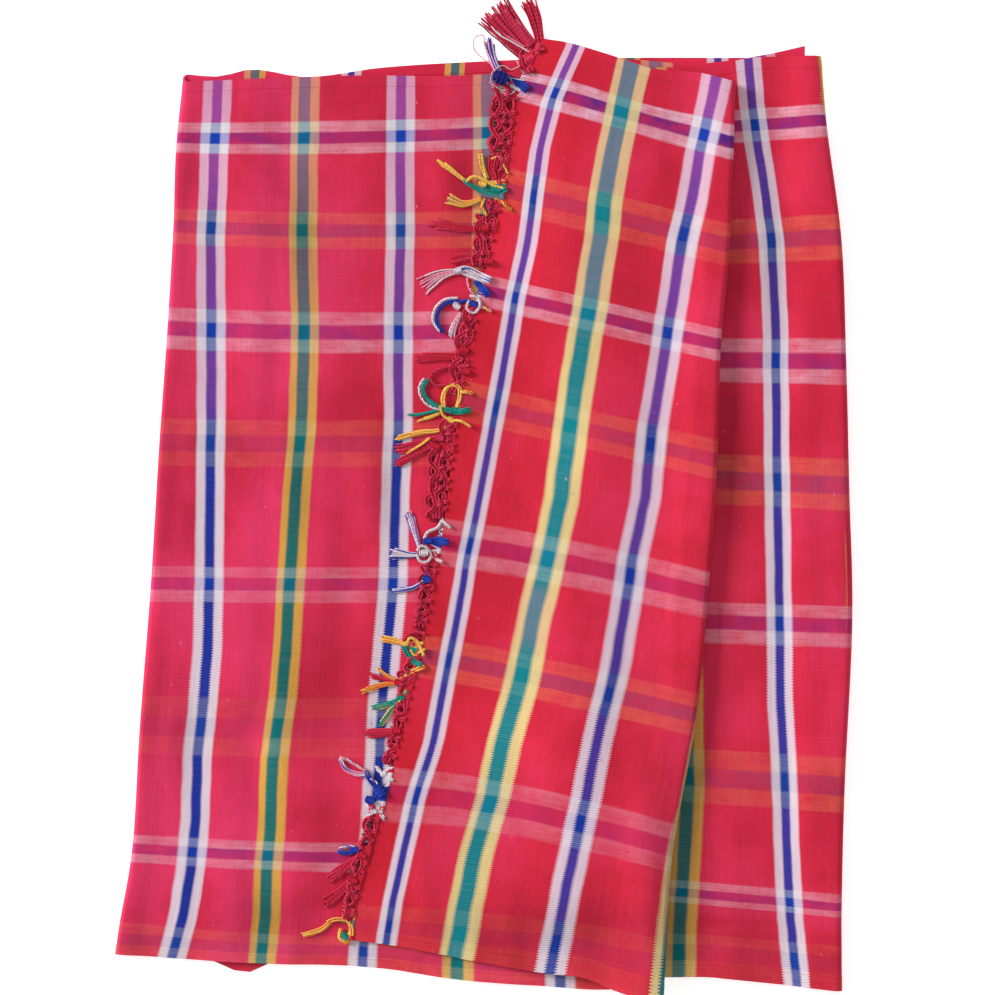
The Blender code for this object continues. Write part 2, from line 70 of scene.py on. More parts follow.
# Where each end, fold or guide line meets those sections
LINES = {
    "fringed_end": {
        "x": (59, 38, 19.5, -2, -23.5, -43, -64.5, -97.5, -131.5, -132),
        "y": (458.5, 412.5, 307.5, 207.5, 97.5, -44.5, -157.5, -295.5, -427.5, -442.5),
    },
    "fold1": {
        "x": (251, 249.5, 245.5, 236.5, 233, 223.5, 212, 188.5, 181, 179),
        "y": (413.5, 352.5, 250.5, 151.5, 36.5, -100.5, -218.5, -354.5, -470.5, -505.5),
    },
    "fold2": {
        "x": (94, 95, 96, 98, 100, 102, 104, 106, 107, 108),
        "y": (431.5, 361.5, 247.5, 139.5, 24.5, -120.5, -272.5, -386.5, -452.5, -480.5),
    },
    "fold3": {
        "x": (337, 342.5, 357.5, 362.5, 365.5, 368.5, 361, 358, 358, 358),
        "y": (440.5, 376.5, 260.5, 135.5, 11.5, -128.5, -288.5, -409.5, -467.5, -493.5),
    },
    "fold4": {
        "x": (-301, -307.5, -311, -317, -325, -333.5, -344.5, -352.2, -367, -369),
        "y": (415.5, 359.5, 271.5, 169.5, 55.5, -85.5, -227.5, -350.5, -440.5, -456.5),
    },
    "left_middle": {
        "x": (-4,) * 10,
        "y": (422.5, 364.5, 268.5, 166.5, 55.5, -85.5, -227.5, -359.5, -464.5, -483.5),
    },
    "plain_end": {
        "x": (321, 320, 318, 316, 313, 310, 307, 304, 302, 301),
        "y": (451.5, 394.5, 292.5, 187.5, 72.5, -74.5, -202.5, -337.5, -450.5, -474.5),
    },
}

# Each layer in the order of the sheet: the line it leaves, the line it reaches, its guide
LAYERS = {
    "overlap": {"start": "fringed_end", "end": "fold1", "guide": None},
    "pleat": {"start": "fold1", "end": "fold2", "guide": None},
    "right": {"start": "fold2", "end": "fold3", "guide": None},
    "back": {"start": "fold3", "end": "fold4", "guide": None},
    "left": {"start": "fold4", "end": "plain_end", "guide": "left_middle"},
}

# Where the hems wander from the straight line between two folds: x, y along each hem
TOP_HEMS = {
    "overlap": ((59, 458.5), (80, 455), (122, 442.5), (169, 427.5), (214, 423.5), (251, 413.5)),
    "right": ((94, 431.5), (240, 434), (262, 438.5), (307, 440.5), (337, 440.5)),
    "back": ((-301, 424), (-262, 422), (-239, 428), (-179, 421), (-106, 430), (6, 437), (337, 440.5)),
    "left": ((-301, 415.5), (-154, 421.5), (-4, 423), (140, 438), (214, 434), (287, 444), (321, 451.5)),
}
BOTTOM_HEMS = {
    "overlap": (
        (-132, -442.5), (-89, -448), (-7, -463.5), (58, -474.5), (105, -481), (128, -491), (179, -505.5),
    ),
    "right": ((108, -480.5), (182, -479.5), (226, -479.5), (296, -486.5), (358, -493.5)),
    "back": ((-369, -456.5), (-284, -459), (-234, -475), (-209, -463), (100, -470), (358, -493.5)),
    "left": (
        (-369, -456.5), (-246, -465), (-90, -472.5), (-39, -480.5),
        (58, -488.5), (130, -492), (205, -474.5), (301, -474.5),
    ),
}
HEM_FADE = 70.0

# Soft ridges in the laid cloth: from x, y to x, y, half width, height
RIDGES = {
    "left_panel_ridge": (-229, 405, -262, -455, 26, 3.2),
    "left_panel_swell": (-150, 60, -190, -450, 24, 2.2),
    "left_panel_top": (-105, 415, -120, 250, 22, 2.0),
    "overlap_swell": (150, 400, 30, -450, 48, 2.6),
    "right_panel_ridge": (322, 420, 325, -480, 17, 2.8),
    "right_panel_foot": (245, -300, 250, -480, 20, 2.0),
    "foot_ruffle_1": (-45, -495, -52, -425, 11, 1.7),
    "foot_ruffle_2": (-5, -498, -14, -440, 11, 1.5),
    "foot_ruffle_3": (34, -500, 28, -440, 11, 1.3),
}
RIDGE_SHARE = {"overlap": 1.0, "pleat": 1.0, "right": 1.0, "back": 0.0, "left": 0.7}

# Points round each fold, columns along each layer and rows between the hems
FOLD_STEPS = {"fold1": 14, "fold2": 6, "fold3": 12, "fold4": 14}
FOLDS = {
    "fold1": {"lower": "pleat", "upper": "overlap", "side": 1},
    "fold2": {"lower": "right", "upper": "pleat", "side": -1},
    "fold3": {"lower": "back", "upper": "right", "side": 1},
    "fold4": {"lower": "back", "upper": "left", "side": -1},
}
LAYER_COLUMNS = {"overlap": 56, "pleat": 6, "right": 46, "back": 44, "left": 88}
ROWS = 160
# Columns stand closer where a layer shows: even shares of the layer, and where they are moved to
CLOSER_COLUMNS = {"left": ((0, 0.72, 1), (0, 0.56, 1)), "right": ((0, 0.2, 1), (0, 0.38, 1))}
# The visible sheet lies this far inside each face of the solid
SHEET_INSET = 0.25

# Fine creases laid over the main folds: from x, y to x, y, half width, height
CREASES = {
    "left_edge_trough": (-285, 400, -338, -440, 9, -1.2),
    "left_inner_trough": (-200, 380, -232, -440, 10, -0.9),
    "green_side_trough": (-140, 40, -150, -440, 15, -1.3),
    "shadow_side_trough": (-60, 300, -118, -440, 14, -1.1),
    "left_cross_1": (-300, 130, -170, 118, 7, 0.5),
    "left_cross_2": (-320, -40, -200, -62, 9, 0.5),
    "left_cross_3": (-340, -210, -220, -196, 8, 0.6),
    "left_foot_1": (-300, -380, -310, -470, 8, 0.9),
    "left_foot_2": (-190, -400, -196, -480, 8, 0.8),
    "left_foot_3": (-120, -420, -118, -485, 7, 0.9),
    "overlap_trough": (205, 400, 120, -470, 16, -1.2),
    "overlap_fold_line": (232, 380, 160, -480, 7, 0.7),
    "overlap_cross_1": (60, 180, 190, 150, 9, 0.5),
    "overlap_cross_2": (0, -120, 150, -160, 10, 0.5),
    "overlap_foot": (-60, -380, -70, -470, 9, 0.8),
    "right_trough": (292, 400, 300, -480, 11, -1.0),
    "right_cross": (240, 60, 350, 40, 8, 0.4),
}

# Slow unevenness: waves per millimetre along x and y, start, height
WAVES = (
    (0.031, 0.011, 0.3, 0.30),
    (-0.017, 0.026, 1.9, 0.30),
    (0.052, -0.021, 4.1, 0.20),
    (0.012, 0.061, 2.6, 0.18),
    (-0.071, 0.038, 5.2, 0.12),
    (0.094, 0.067, 0.9, 0.08),
)
# Creases go down no further than this, and layers that don't show have none
DEEPEST = 1.4
HIDDEN = ("pleat", "back")

# Where the lengthwise stripes run on each showing layer: the picture's rows, then each stripe's middle.
# White and blue stripes have even numbers, yellow and green ones odd.
STRIPE_ROWS = {
    "left": (417, 337, 257, 167, 67, -3, -83, -153, -203, -263, -323, -373, -423, -463),
    "overlap": (
        452, 397, 347, 297, 257, 197, 127, 67, -3, -63, -123, -183, -243, -303, -353, -403, -453, -493,
    ),
    "right": (437, 397, 347, 297, 257, 177, 97, -3, -103, -203, -283, -363, -423, -493),
    "back": (437, -480),
}
STRIPES = {
    "left": {
        14: (-266, -270, -273, -273, -273, -274, -275, -277, -281, -287, -289, -294, -302, -313),
        15: (-178, -180, -181, -179, -182, -188, -193, -197, -202, -210, -212, -216, -218, -222),
        16: (-83, -84, -84, -86, -86, -89, -91, -97, -102, -105, -109, -113, -118, -122),
        17: (5, 5, 4, 3, 2, 0, -2, -6, -9, -13, -16, -20, -23, -26),
        18: (91, 90, 90, 90, 89, 88, 87, 86, 85, 84, 82, 80, 78, 76),
        19: (173, 173, 173, 173, 173, 173, 172, 172, 172, 172, 171, 171, 171, 171),
        20: (276, 276, 275, 275, 274, 274, 273, 273, 272, 272, 271, 270, 269, 268),
    },
    "overlap": {
        0: (92, 68, 56, 49, 44, 31, 19, 8, -5, -17, -27, -39, -50, -69, -80, -91, -99, -105),
        1: (154, 141, 130, 121, 117, 107, 95, 86, 77, 64, 50, 38, 21, 8, -7, -17, -26, -32),
        2: (238, 228, 216, 208, 198, 189, 178, 168, 161, 148, 139, 128, 113, 101, 90, 80, 70, 63),
        3: (338, 328, 316, 309, 300, 292, 282, 273, 264, 254, 247, 236, 222, 210, 198, 191, 185, 181),
    },
    "right": {
        5: (166, 169, 176, 184, 189, 193, 195, 197, 200, 203, 205, 201, 197, 195),
        6: (264, 267, 274, 282, 287, 291, 292, 293, 295, 296, 300, 303, 306, 313),
    },
    "back": {
        7: (322, 329), 8: (234, 225), 9: (146, 121), 10: (59, 17), 11: (-29, -87),
        12: (-132, -191), 13: (-229, -295), 14: (-320, -399),
    },
}
# How wide each stripe lies, where its yarns are drawn together or spread
STRIPE_SPREADS = {
    "left": {14: 0.96, 15: 0.88, 16: 0.95},
    "overlap": {0: 0.68, 1: 1.10, 2: 1.02},
    "right": {6: 0.85},
    "back": {8: 0.7, 9: 0.65, 10: 0.65, 11: 0.6, 12: 0.65, 13: 0.65, 14: 0.7},
}
# Stripes stand this far apart along the sheet, two to a repeat, and are placed by both their sides
STRIPE_PITCH = 95.0
STRIPE_START = 40.0
STRIPE_SIDE = 17.0
REPEAT = 2 * STRIPE_PITCH
# Distances along the sheet: the overlap's run, the turn of its fold, and the left panel's start
OVERLAP_RUN = 370.0
FOLD_RUN = 14.0
LEFT_START = 1270

# How pink the red is along the sheet: it leans to red near the fringed end
PINKNESS = (
    (0, 60, 120, 330, 420, 520, 1200, 1270, 1345, 1388, 1418, 1450, 1500, 1560),
    (0.0, 0.08, 0.22, 0.25, 0.16, 0.28, 0.28, 0.6, 0.72, 0.5, 0.85, 0.8, 0.45, 0.3),
)
# How far the overlap's bands bow upwards in its middle, by v
BAND_BOWS = ((0, 372, 517, 645, 778, 905, 928), (0, 0, 7, 3, 11, 4, 3))
# Painted light and shade on the cloth, lighter where folds catch the light and darker where they shade it:
# x, y, half width, half height, share
PAINTED_SHADING = (
    (-184, 260, 16, 60, -0.32),
    (-184, 0, 16, 60, -0.25),
    (-190, -200, 16, 90, -0.20),
    (-224, -255, 14, 50, 0.30),
    (-224, 50, 14, 50, 0.20),
    (-229, -22, 20, 180, 0.07),
    (-334, -125, 14, 60, 0.30),
    (-304, -245, 12, 50, -0.25),
    (-304, 50, 14, 70, 0.14),
    (-304, 395, 16, 30, 0.14),
    (-264, 330, 18, 40, 0.14),
    (-104, 5, 14, 45, -0.28),
    (-24, 310, 14, 40, -0.26),
    (-19, 388, 13, 60, -0.14),
    (-129, 227, 35, 90, -0.14),
    (-144, -168, 32, 130, -0.06),
    (16, 255, 14, 60, 0.24),
    (96, 45, 20, 45, 0.24),
    (50, 225, 14, 40, 0.14),
    (176, 250, 14, 40, 0.20),
    (16, -235, 50, 40, 0.22),
    (214, -320, 22, 130, -0.26),
    (171, -335, 18, 130, -0.36),
    (291, 230, 14, 90, -0.28),
    (336, 230, 16, 40, 0.16),
    (251, 50, 14, 130, -0.24),
    (251, -437, 60, 40, -0.12),
    (-214, -420, 40, 28, -0.32),
    (76, -430, 120, 30, -0.26),
    (360, -60, 12, 110, -0.16),
    (325, 330, 22, 90, 0.05),
)
# Share of the crosswise yarns that shows through the stripes: v, share
COVERS = {
    "back": ((0, 928), (0.12, 0.12)),
    "left": ((0, 60, 110, 155, 260, 330, 385, 928), (0.52, 0.46, 0.36, 0.28, 0.24, 0.18, 0.0, 0.0)),
    "left_green": (
        (0, 60, 110, 155, 260, 330, 385, 928), (0.40, 0.36, 0.30, 0.26, 0.14, 0.10, 0.03, 0.02),
    ),
    "overlap_edge": (
        (0, 90, 150, 260, 350, 420, 520, 928), (0.30, 0.26, 0.18, 0.14, 0.09, 0.12, 0.06, 0.04),
    ),
    "overlap_green": (
        (0, 230, 290, 535, 550, 600, 620, 928), (0.20, 0.16, 0.02, 0.02, 0.14, 0.14, 0.03, 0.0),
    ),
    "overlap_fold": ((0, 120, 330, 450, 600, 928), (0.38, 0.25, 0.20, 0.15, 0.10, 0.07)),
    "right": ((0, 120, 300, 928), (0.2, 0.11, 0.06, 0.05)),
}
# Middles of the crosswise bands, by v: white and blue, then yellow and grey, by turns
BAND_MIDDLES = (57, 155, 258, 372, 517, 645, 778, 905)
# How strongly each band shows on the red
BAND_SHOWS = {
    "left": (0.58, 0.30, 0.48, 0.18, 0.28, 0.08, 0.44, 0.20),
    "overlap": (0.94, 0.24, 0.54, 0.26, 0.30, 0.36, 0.20, 0.12),
    "right": (0.74, 0.34, 0.54, 0.36, 0.40, 0.28, 0.44, 0.10),
}
# How wide each band lies on a layer, where its yarns are drawn together or spread
BAND_SPREADS = {
    "left": (0.76, 0.77, 1.0, 1.0, 0.81, 1.15, 0.81, 1.0),
    "overlap": (0.78, 0.86, 0.78, 0.84, 1.2, 0.9, 1.2, 1.0),
    "right": (0.67, 0.78, 0.95, 1.04, 0.88, 1.03, 0.87, 1.0),
}
# Colours, as they look in the picture's soft light
COLOURS = {
    "red": (190, 28, 52),
    "rose": (200, 48, 82),
    # Painted shade: the darkest red yarn stands for red yarn lying in shadow under the net and between the
    # fringe's yarns
    "wine": (138, 12, 36),
    "white": (210, 196, 204),
    "blue": (34, 58, 160),
    "teal": (22, 132, 118),
    "yellow": (232, 180, 84),
    "pink": (226, 140, 164),
    "orange": (228, 116, 54),
    "slate": (118, 112, 136),
    "violet": (122, 84, 176),
    "navy": (30, 34, 116),
    "overlap_red": (200, 33, 50),
    "crimson": (222, 56, 100),
    "bright_crimson": (228, 62, 108),
    "deep_red": (168, 24, 42),
    "stripe_white": (212, 192, 204),
    "stripe_blue": (18, 47, 143),
    "stripe_yellow": (208, 154, 66),
    "stripe_green": (0, 105, 100),
    "pale_yellow": (214, 188, 128),
    "pale_green": (10, 122, 130),
    "under_stripe": (216, 84, 150),
    "band_white": (220, 170, 190),
    "band_blue": (84, 38, 126),
    "band_orange": (222, 118, 84),
    "band_grey": (68, 76, 116),
    "cross_white": (222, 224, 230),
    "cross_blue": (12, 76, 190),
    "cross_yellow": (214, 212, 190),
    "cross_grey": (44, 108, 158),
}
# A band is placed by both its sides
BAND_SIDE = 27
# Where the yarns change colour, from the middle of a white group and of a yellow one
STRIPE_EDGES = ((-14.9, -5.2, 5.3, 14.9), (-15.7, -7.6, 5.8, 15.7))
BAND_EDGES = ((-20.5, -7.5, 7.5, 21.0), (-24.0, -8.5, 8.5, 24.0))
# Sizes in the weave and the yarns that the materials use, in metres
PICK_PAIR = 0.0023
WARP_PAIR = 0.0011
SEAM_IN = 0.0108
PLY_TURN = 0.0042

# The fringe's yarns: half width, step along a yarn, sides
YARN_HALF = 0.78
STEP = 1.5
SIDES = 6
# Short warp ends along the edge, the net's ties, and the yarns drawn from the edge into a knot
STUB_PITCH = 1.1
STUB_HALF = 0.68
TIE_PITCH = 11.0
ROOTS = 12
ROOT_SPREAD = 7.0
# In the next three tables y counts whole rows of the picture, and this reaches a row's middle
ROW_MIDDLE = 0.5

# Tassels' loose ends: colours, yarns, half width at the knot and at the tip, lift, places
TAILS = (
    # The darkest red yarns in these tassels are painted shade between the yarns
    ("rose red wine rose", 26, 3.5, 8.6, 0, ((57, 445), (55, 459), (51, 477), (42, 500))),
    ("red rose wine", 28, 5, 10, 0, ((51, 449), (37, 466), (24, 483), (15, 499))),
    ("rose red rose wine", 32, 7.5, 12, 0, ((46, 439), (31, 453), (15, 469), (-1, 485))),
    ("pink white", 2, 1, 2, 2, ((48, 445), (28, 457), (13, 467), (5, 477))),
    ("blue white pink white blue", 13, 2.6, 5, 0, ((18, 421), (11, 433), (7, 445), (4, 462))),
    ("yellow", 8, 1.2, 3, 0, ((-17, 315), (-28, 323), (-38, 331), (-48, 338))),
    ("yellow orange teal yellow", 9, 1.5, 6, 0, ((-2, 298), (-14, 294), (-22, 293), (-31, 296), (-41, 301))),
    ("rose red rose", 16, 2.4, 7, 0, ((-4, 268), (-16, 268), (-34, 271), (-57, 276))),
    ("red rose", 10, 2, 6, 0, ((4, 235), (-16, 240), (-36, 235))),
    ("pink white pink white pink", 15, 2, 10.5, 0, ((-26, 226), (-42, 222), (-64, 209))),
    ("white pink", 9, 1.5, 4.2, 0, ((-23, 184), (-29, 173), (-34, 157))),
    ("rose red rose", 15, 3, 6, 0, ((-22, 141), (-46, 140), (-72, 139))),
    ("teal", 3, 1, 1.2, 0, ((-44, 87), (-62, 83), (-80, 81))),
    ("yellow", 3, 1, 1.2, 0, ((-44, 84), (-56, 79), (-69, 76))),
    ("teal", 2, 0.8, 0.8, 0, ((-44, 90), (-54, 94), (-60, 99))),
    ("yellow yellow orange", 7, 1.6, 2.6, 0, ((-33, 75), (-44, 67), (-60, 65), (-91, 58))),
    ("rose red rose", 12, 2.4, 6, 0, ((-46, 60), (-60, 54), (-74, 50), (-92, 46))),
    ("yellow", 2, 0.6, 0.8, 1.6, ((-54, 59), (-70, 48), (-88, 40))),
    ("rose red", 9, 2, 5, 0, ((-52, 51), (-72, 41), (-91, 31))),
    ("white violet pink white", 10, 1.5, 5, 0, ((-64, -52), (-69, -37), (-73, -23), (-77, -12))),
    ("white blue white violet white", 13, 1.5, 7, 0, ((-65, -58), (-76, -58), (-86, -57), (-96, -56))),
    ("blue white", 6, 1.5, 2.2, 0, ((-59, -83), (-72, -91), (-84, -93), (-95, -93))),
    ("yellow yellow orange", 7, 1.5, 4, 0, ((-72, -149), (-89, -144), (-108, -140))),
    ("orange yellow", 5, 1, 1.8, 0, ((-87, -184), (-98, -178), (-108, -170))),
    ("red rose", 7, 1.2, 2.4, 0, ((-87, -185), (-104, -181), (-118, -177))),
    ("yellow orange yellow", 8, 1.4, 3.2, 0, ((-88, -186), (-106, -189), (-124, -196))),
    ("teal teal yellow", 10, 1.6, 3.6, 0, ((-80, -199), (-94, -207), (-114, -212))),
    ("yellow teal yellow", 7, 1.4, 2.4, 0, ((-84, -202), (-94, -215), (-106, -231))),
    ("rose red", 16, 3.2, 5, 0, ((-86, -234), (-104, -236), (-123, -236))),
    ("white", 4, 1, 2, 1, ((-102, -277), (-96, -273), (-89, -268))),
    ("white", 4, 1, 2, 1, ((-102, -278), (-94, -281), (-89, -285))),
    ("white", 4, 1, 2, 1, ((-100, -278), (-106, -272), (-111, -268))),
    ("white", 4, 1, 2, 1, ((-111, -314), (-104, -308), (-97, -306))),
    ("white", 4, 1, 2, 1, ((-111, -315), (-103, -318), (-98, -324))),
    ("white", 4, 1, 2, 1, ((-109, -314), (-116, -309), (-121, -306))),
    ("white", 4, 1, 2, 1, ((-109, -315), (-116, -320), (-120, -324))),
    ("rose red", 15, 2.6, 7, 0, ((-124, -358), (-138, -369), (-157, -384))),
    ("red rose", 15, 2.6, 7, 0, ((-132, -383), (-144, -395), (-162, -409))),
    ("yellow orange yellow pink", 7, 1.6, 3, 0, ((-153, -424), (-162, -432), (-173, -436), (-184, -439))),
)

# Twisted cords, loops and net: colours, yarns, half width at start and end, lift, places
CORDS = (
    ("navy blue navy", 8, 4.5, 2.8, 1, ((44, 406), (34, 414), (24, 418), (13, 420))),
    ("white", 1, 0.45, 0.45, 5, ((36, 431), (27, 427), (19, 431), (9, 425), (7, 415), (15, 408), (25, 402),
        (31, 406), (27, 417), (20, 425))),
    ("pink", 1, 0.45, 0.45, 3, ((5, 415), (10, 409), (16, 405), (24, 400), (30, 404), (37, 398))),
    # The darkest red yarns in these cords are painted shade between the yarns
    ("rose wine rose", 6, 2.4, 2.4, 1, ((52, 455), (46, 447), (44, 435), (48, 423))),
    ("rose wine", 6, 2.4, 2.4, 1.5, ((46, 453), (38, 443), (40, 431), (45, 423))),
    ("pink", 1, 0.5, 0.5, 0, ((10, 431), (-1, 439), (-10, 449), (-10, 459), (-2, 463), (2, 452))),
    ("white", 1, 0.5, 0.5, 1, ((41, 422), (35, 431), (32, 439))),
    ("red", 2, 0.8, 0.8, 2, ((46, 427), (44, 437), (37, 439), (38, 429))),
    ("yellow", 5, 2.4, 2, 1, ((-4, 343), (-2, 333), (3, 318))),
    ("yellow", 2, 0.8, 0.8, 2, ((7, 338), (16, 340), (20, 331), (24, 323))),
    ("red", 6, 2.4, 2.4, 0, ((7, 340), (7, 327), (11, 317), (19, 307))),
    ("red", 5, 2, 2, 0, ((16, 338), (19, 323), (20, 307))),
    ("teal", 6, 1.6, 2.8, 2, ((-20, 317), (-14, 312), (-2, 307), (10, 304), (23, 308))),
    ("yellow", 4, 1.4, 1.4, 3, ((-18, 315), (-11, 320), (0, 317), (10, 311), (20, 308))),
    ("slate teal", 5, 2.4, 2.8, 2, ((-7, 307), (4, 302), (20, 300))),
    ("yellow orange", 3, 1.2, 1.2, 1, ((1, 299), (-2, 291), (3, 281))),
    ("orange yellow", 3, 1.2, 2, 1, ((11, 299), (20, 293), (27, 286))),
    ("white white blue", 8, 3.6, 2.6, 1.5, ((7, 216), (-5, 222), (-20, 228), (-27, 226))),
    ("blue", 7, 4, 2.4, 1, ((5, 201), (-2, 209), (-9, 216))),
    ("pink", 2, 0.8, 0.8, 1, ((-17, 219), (-15, 209), (-10, 202))),
    ("blue", 5, 1.6, 1.6, 1, ((-26, 196), (-39, 193), (-46, 185), (-47, 175), (-41, 164))),
    ("white", 3, 1, 1, 1.6, ((-26, 199), (-40, 197), (-49, 188), (-51, 176), (-44, 165))),
    ("white", 3, 1.1, 1.1, 2.4, ((-14, 201), (-6, 199), (-4, 191), (-10, 184), (-17, 188), (-15, 197))),
    ("pink yellow", 2, 0.8, 1.4, 1, ((-5, 191), (2, 188), (8, 185))),
    ("blue", 4, 1.6, 1.6, 1.6, ((-12, 195), (-21, 196), (-28, 192))),
    ("rose red", 4, 1.4, 1.4, 1, ((-14, 131), (-28, 131), (-44, 128), (-54, 120), (-48, 112), (-34, 113),
        (-20, 117))),
    ("teal", 6, 1.5, 1.6, 1, ((-38, 88), (-46, 91), (-57, 99), (-61, 108), (-56, 118))),
    ("white", 2, 0.8, 0.8, 1, ((-44, 87), (-55, 91), (-63, 100), (-65, 109), (-60, 119))),
    ("yellow", 5, 1.8, 1.8, 2, ((-40, 89), (-41, 100), (-37, 109), (-31, 112), (-25, 109), (-24, 100),
        (-27, 89))),
    ("yellow orange", 3, 1.2, 2.2, 1, ((-24, 104), (-18, 105), (-11, 103))),
    ("teal", 6, 2.2, 2.8, 3, ((-40, 88), (-28, 85), (-13, 87))),
    ("yellow", 3, 1.1, 1.1, 3, ((-44, 91), (-41, 82), (-33, 77), (-24, 76), (-13, 70))),
    ("white", 4, 1.2, 1.2, 1, ((-41, -21), (-46, -30), (-57, -36), (-60, -42))),
    ("white", 3, 1, 1.6, 1, ((-42, -23), (-38, -27), (-33, -31))),
    ("blue", 8, 3.4, 2.8, 2, ((-35, -45), (-48, -44), (-61, -44))),
    ("white", 3, 1.2, 1.2, 3, ((-67, -54), (-63, -49), (-56, -52), (-53, -59), (-57, -65), (-64, -64),
        (-67, -57))),
    ("white pink", 4, 1.4, 1.6, 1, ((-55, -57), (-48, -62), (-41, -65))),
    ("violet blue", 4, 1.4, 1.4, 1, ((-60, -65), (-57, -73), (-59, -83))),
    ("rose red", 4, 1.4, 1.4, 1, ((-58, -137), (-69, -135), (-78, -140), (-81, -146))),
    ("yellow", 4, 1.3, 1.3, 2, ((-77, -148), (-74, -141), (-67, -144), (-63, -151), (-60, -159))),
    ("yellow orange", 3, 1.1, 1.1, 1.5, ((-74, -153), (-69, -158), (-64, -155), (-58, -151))),
    ("teal", 7, 2.2, 2.6, 2.4, ((-81, -148), (-75, -158), (-69, -165), (-62, -168))),
    ("yellow orange yellow", 5, 2.2, 1.8, 1, ((-59, -169), (-72, -175), (-86, -184))),
    ("teal yellow", 5, 2, 1.6, 1, ((-77, -193), (-82, -200), (-91, -210))),
    ("pink white violet", 7, 2.6, 1.6, 1, ((-113, -277), (-127, -277), (-139, -271), (-144, -261))),
    ("pink white", 3, 1.1, 1.1, 1.6, ((-144, -260), (-136, -263), (-128, -268), (-118, -274))),
    ("blue", 6, 2.2, 2.2, 1.6, ((-118, -274), (-113, -284), (-105, -294), (-110, -303), (-116, -306))),
    ("violet white", 2, 0.8, 0.8, 4.5, ((-113, -281), (-106, -288), (-108, -295))),
    ("blue", 6, 2, 1.6, 1, ((-126, -353), (-136, -356), (-146, -355))),
    ("white violet", 2, 0.7, 0.7, 1.8, ((-127, -350), (-137, -349), (-146, -352))),
    ("yellow orange", 5, 1.6, 1.6, 1.5, ((-157, -425), (-147, -422), (-136, -425), (-132, -435),
        (-137, -445), (-144, -441), (-143, -431))),
)

# Knots: colour, x, y, half size, turn in degrees
KNOTS = (
    ("rose", 55, 448, 4.6, 80),
    ("red", 49, 443, 4.8, 40),
    ("rose", 46, 437, 4.8, 30),
    ("navy", 17, 419, 7.4, -20),
    ("teal", 13, 307, 3.6, -10),
    ("yellow", -1, 313, 3.4, -20),
    ("red", 0, 268, 4.2, 0),
    ("red", 5, 235, 3.6, 0),
    ("white", -26, 226, 3.4, 20),
    ("white", -27, 191, 3.4, -40),
    ("blue", -10, 193, 3.2, -40),
    ("red", -20, 146, 4.2, -5),
    ("red", -18, 125, 3.6, 0),
    ("teal", -29, 86, 4, -5),
    ("yellow", -33, 77, 3, -30),
    ("rose", -44, 59, 3.6, -20),
    ("red", -48, 51, 3.4, -20),
    ("blue", -56, -44, 3.6, 0),
    ("white", -60, -56, 4, 0),
    ("blue", -57, -82, 3.8, -30),
    ("yellow", -79, -147, 2.8, 10),
    ("red", -86, -185, 3.2, -10),
    ("teal", -83, -200, 3, -20),
    ("red", -88, -234, 4, 0),
    ("white", -100, -277, 2.6, 30),
    ("blue", -104, -293, 6, -60),
    ("blue", -114, -303, 4.2, -20),
    ("white", -110, -314, 2.6, -10),
    ("blue", -129, -353, 3.6, 0),
    ("red", -122, -358, 4, -25),
    ("red", -131, -383, 4, -25),
    ("teal", -139, -439, 3.4, -60),
)

# Netted stretches: v from and to, reach from the cloth's edge at both ends, rows of cords
NETS = (
    (8, 40, 12, 8, 1),
    (58, 122, 27, 20, 2),
    (122, 150, 16, 10, 2),
    (166, 184, 12, 12, 1),
    (184, 236, 22, 15, 2),
    (276, 330, 14, 12, 2),
    (330, 366, 14, 12, 2),
    (392, 418, 15, 15, 2),
    (418, 495, 24, 14, 2),
    (528, 616, 13, 12, 1),
    (636, 664, 11, 10, 1),
    (664, 752, 13, 11, 1),
    (786, 838, 12, 12, 1),
    (838, 905, 13, 11, 1),
)

# The camera: its lens and sensor in millimetres, and the side of the picture in metres
LENS = 120.0
SENSOR = 36.0
PICTURE_SIDE = 0.995


def curve_through(stations, values, at):
    """A smooth curve through a table's values, read at the given stations."""
    stations = np.asarray(stations, float)
    values = np.asarray(values, float)
    at = np.clip(np.asarray(at, float), stations[0], stations[-1])
    steps = np.diff(stations)
    rises = np.diff(values) / steps
    slopes = np.empty_like(values)
    slopes[0] = rises[0]
    slopes[-1] = rises[-1]
    slopes[1:-1] = (rises[:-1] * steps[1:] + rises[1:] * steps[:-1]) / (steps[:-1] + steps[1:])
    k = np.clip(np.searchsorted(stations, at, side="right") - 1, 0, len(steps) - 1)
    t = (at - stations[k]) / steps[k]
    start = values[k] * (1 + 2 * t) * (1 - t) ** 2 + steps[k] * slopes[k] * t * (1 - t) ** 2
    finish = values[k + 1] * t**2 * (3 - 2 * t) + steps[k] * slopes[k + 1] * t**2 * (t - 1)
    return start + finish


def ease(t):
    """A smooth step from 0 to 1."""
    t = np.clip(t, 0.0, 1.0)
    return t * t * (3 - 2 * t)


def line_at(name, v):
    """x and y where a line of the table is at v."""
    table = LINES[name]
    return curve_through(SECTION_V, table["x"], v), curve_through(SECTION_V, table["y"], v)


def cloth_thickness(v):
    from_hem = np.minimum(v, LOOM_WIDTH - v)
    return CLOTH + HEM_EXTRA * (1 - ease((from_hem - HEM_WIDE) / 4.0))


def swells(table, x, y, wander, past_wide):
    """Height that a table of soft ridges and troughs adds at a place on the blanket."""
    total = np.zeros(np.broadcast(x, y).shape)
    for x0, y0, x1, y1, half, high in table.values():
        length = math.hypot(x1 - x0, y1 - y0)
        along = ((x - x0) * (x1 - x0) + (y - y0) * (y1 - y0)) / length
        off = ((x - x0) * (y1 - y0) - (y - y0) * (x1 - x0)) / length
        off = off + wander * half * np.sin(along / (3.1 * half))
        past = np.maximum(np.maximum(-along, along - length), 0.0)
        total = total + high * np.exp(-((off / half) ** 2) - (past / (past_wide * half)) ** 2)
    return total


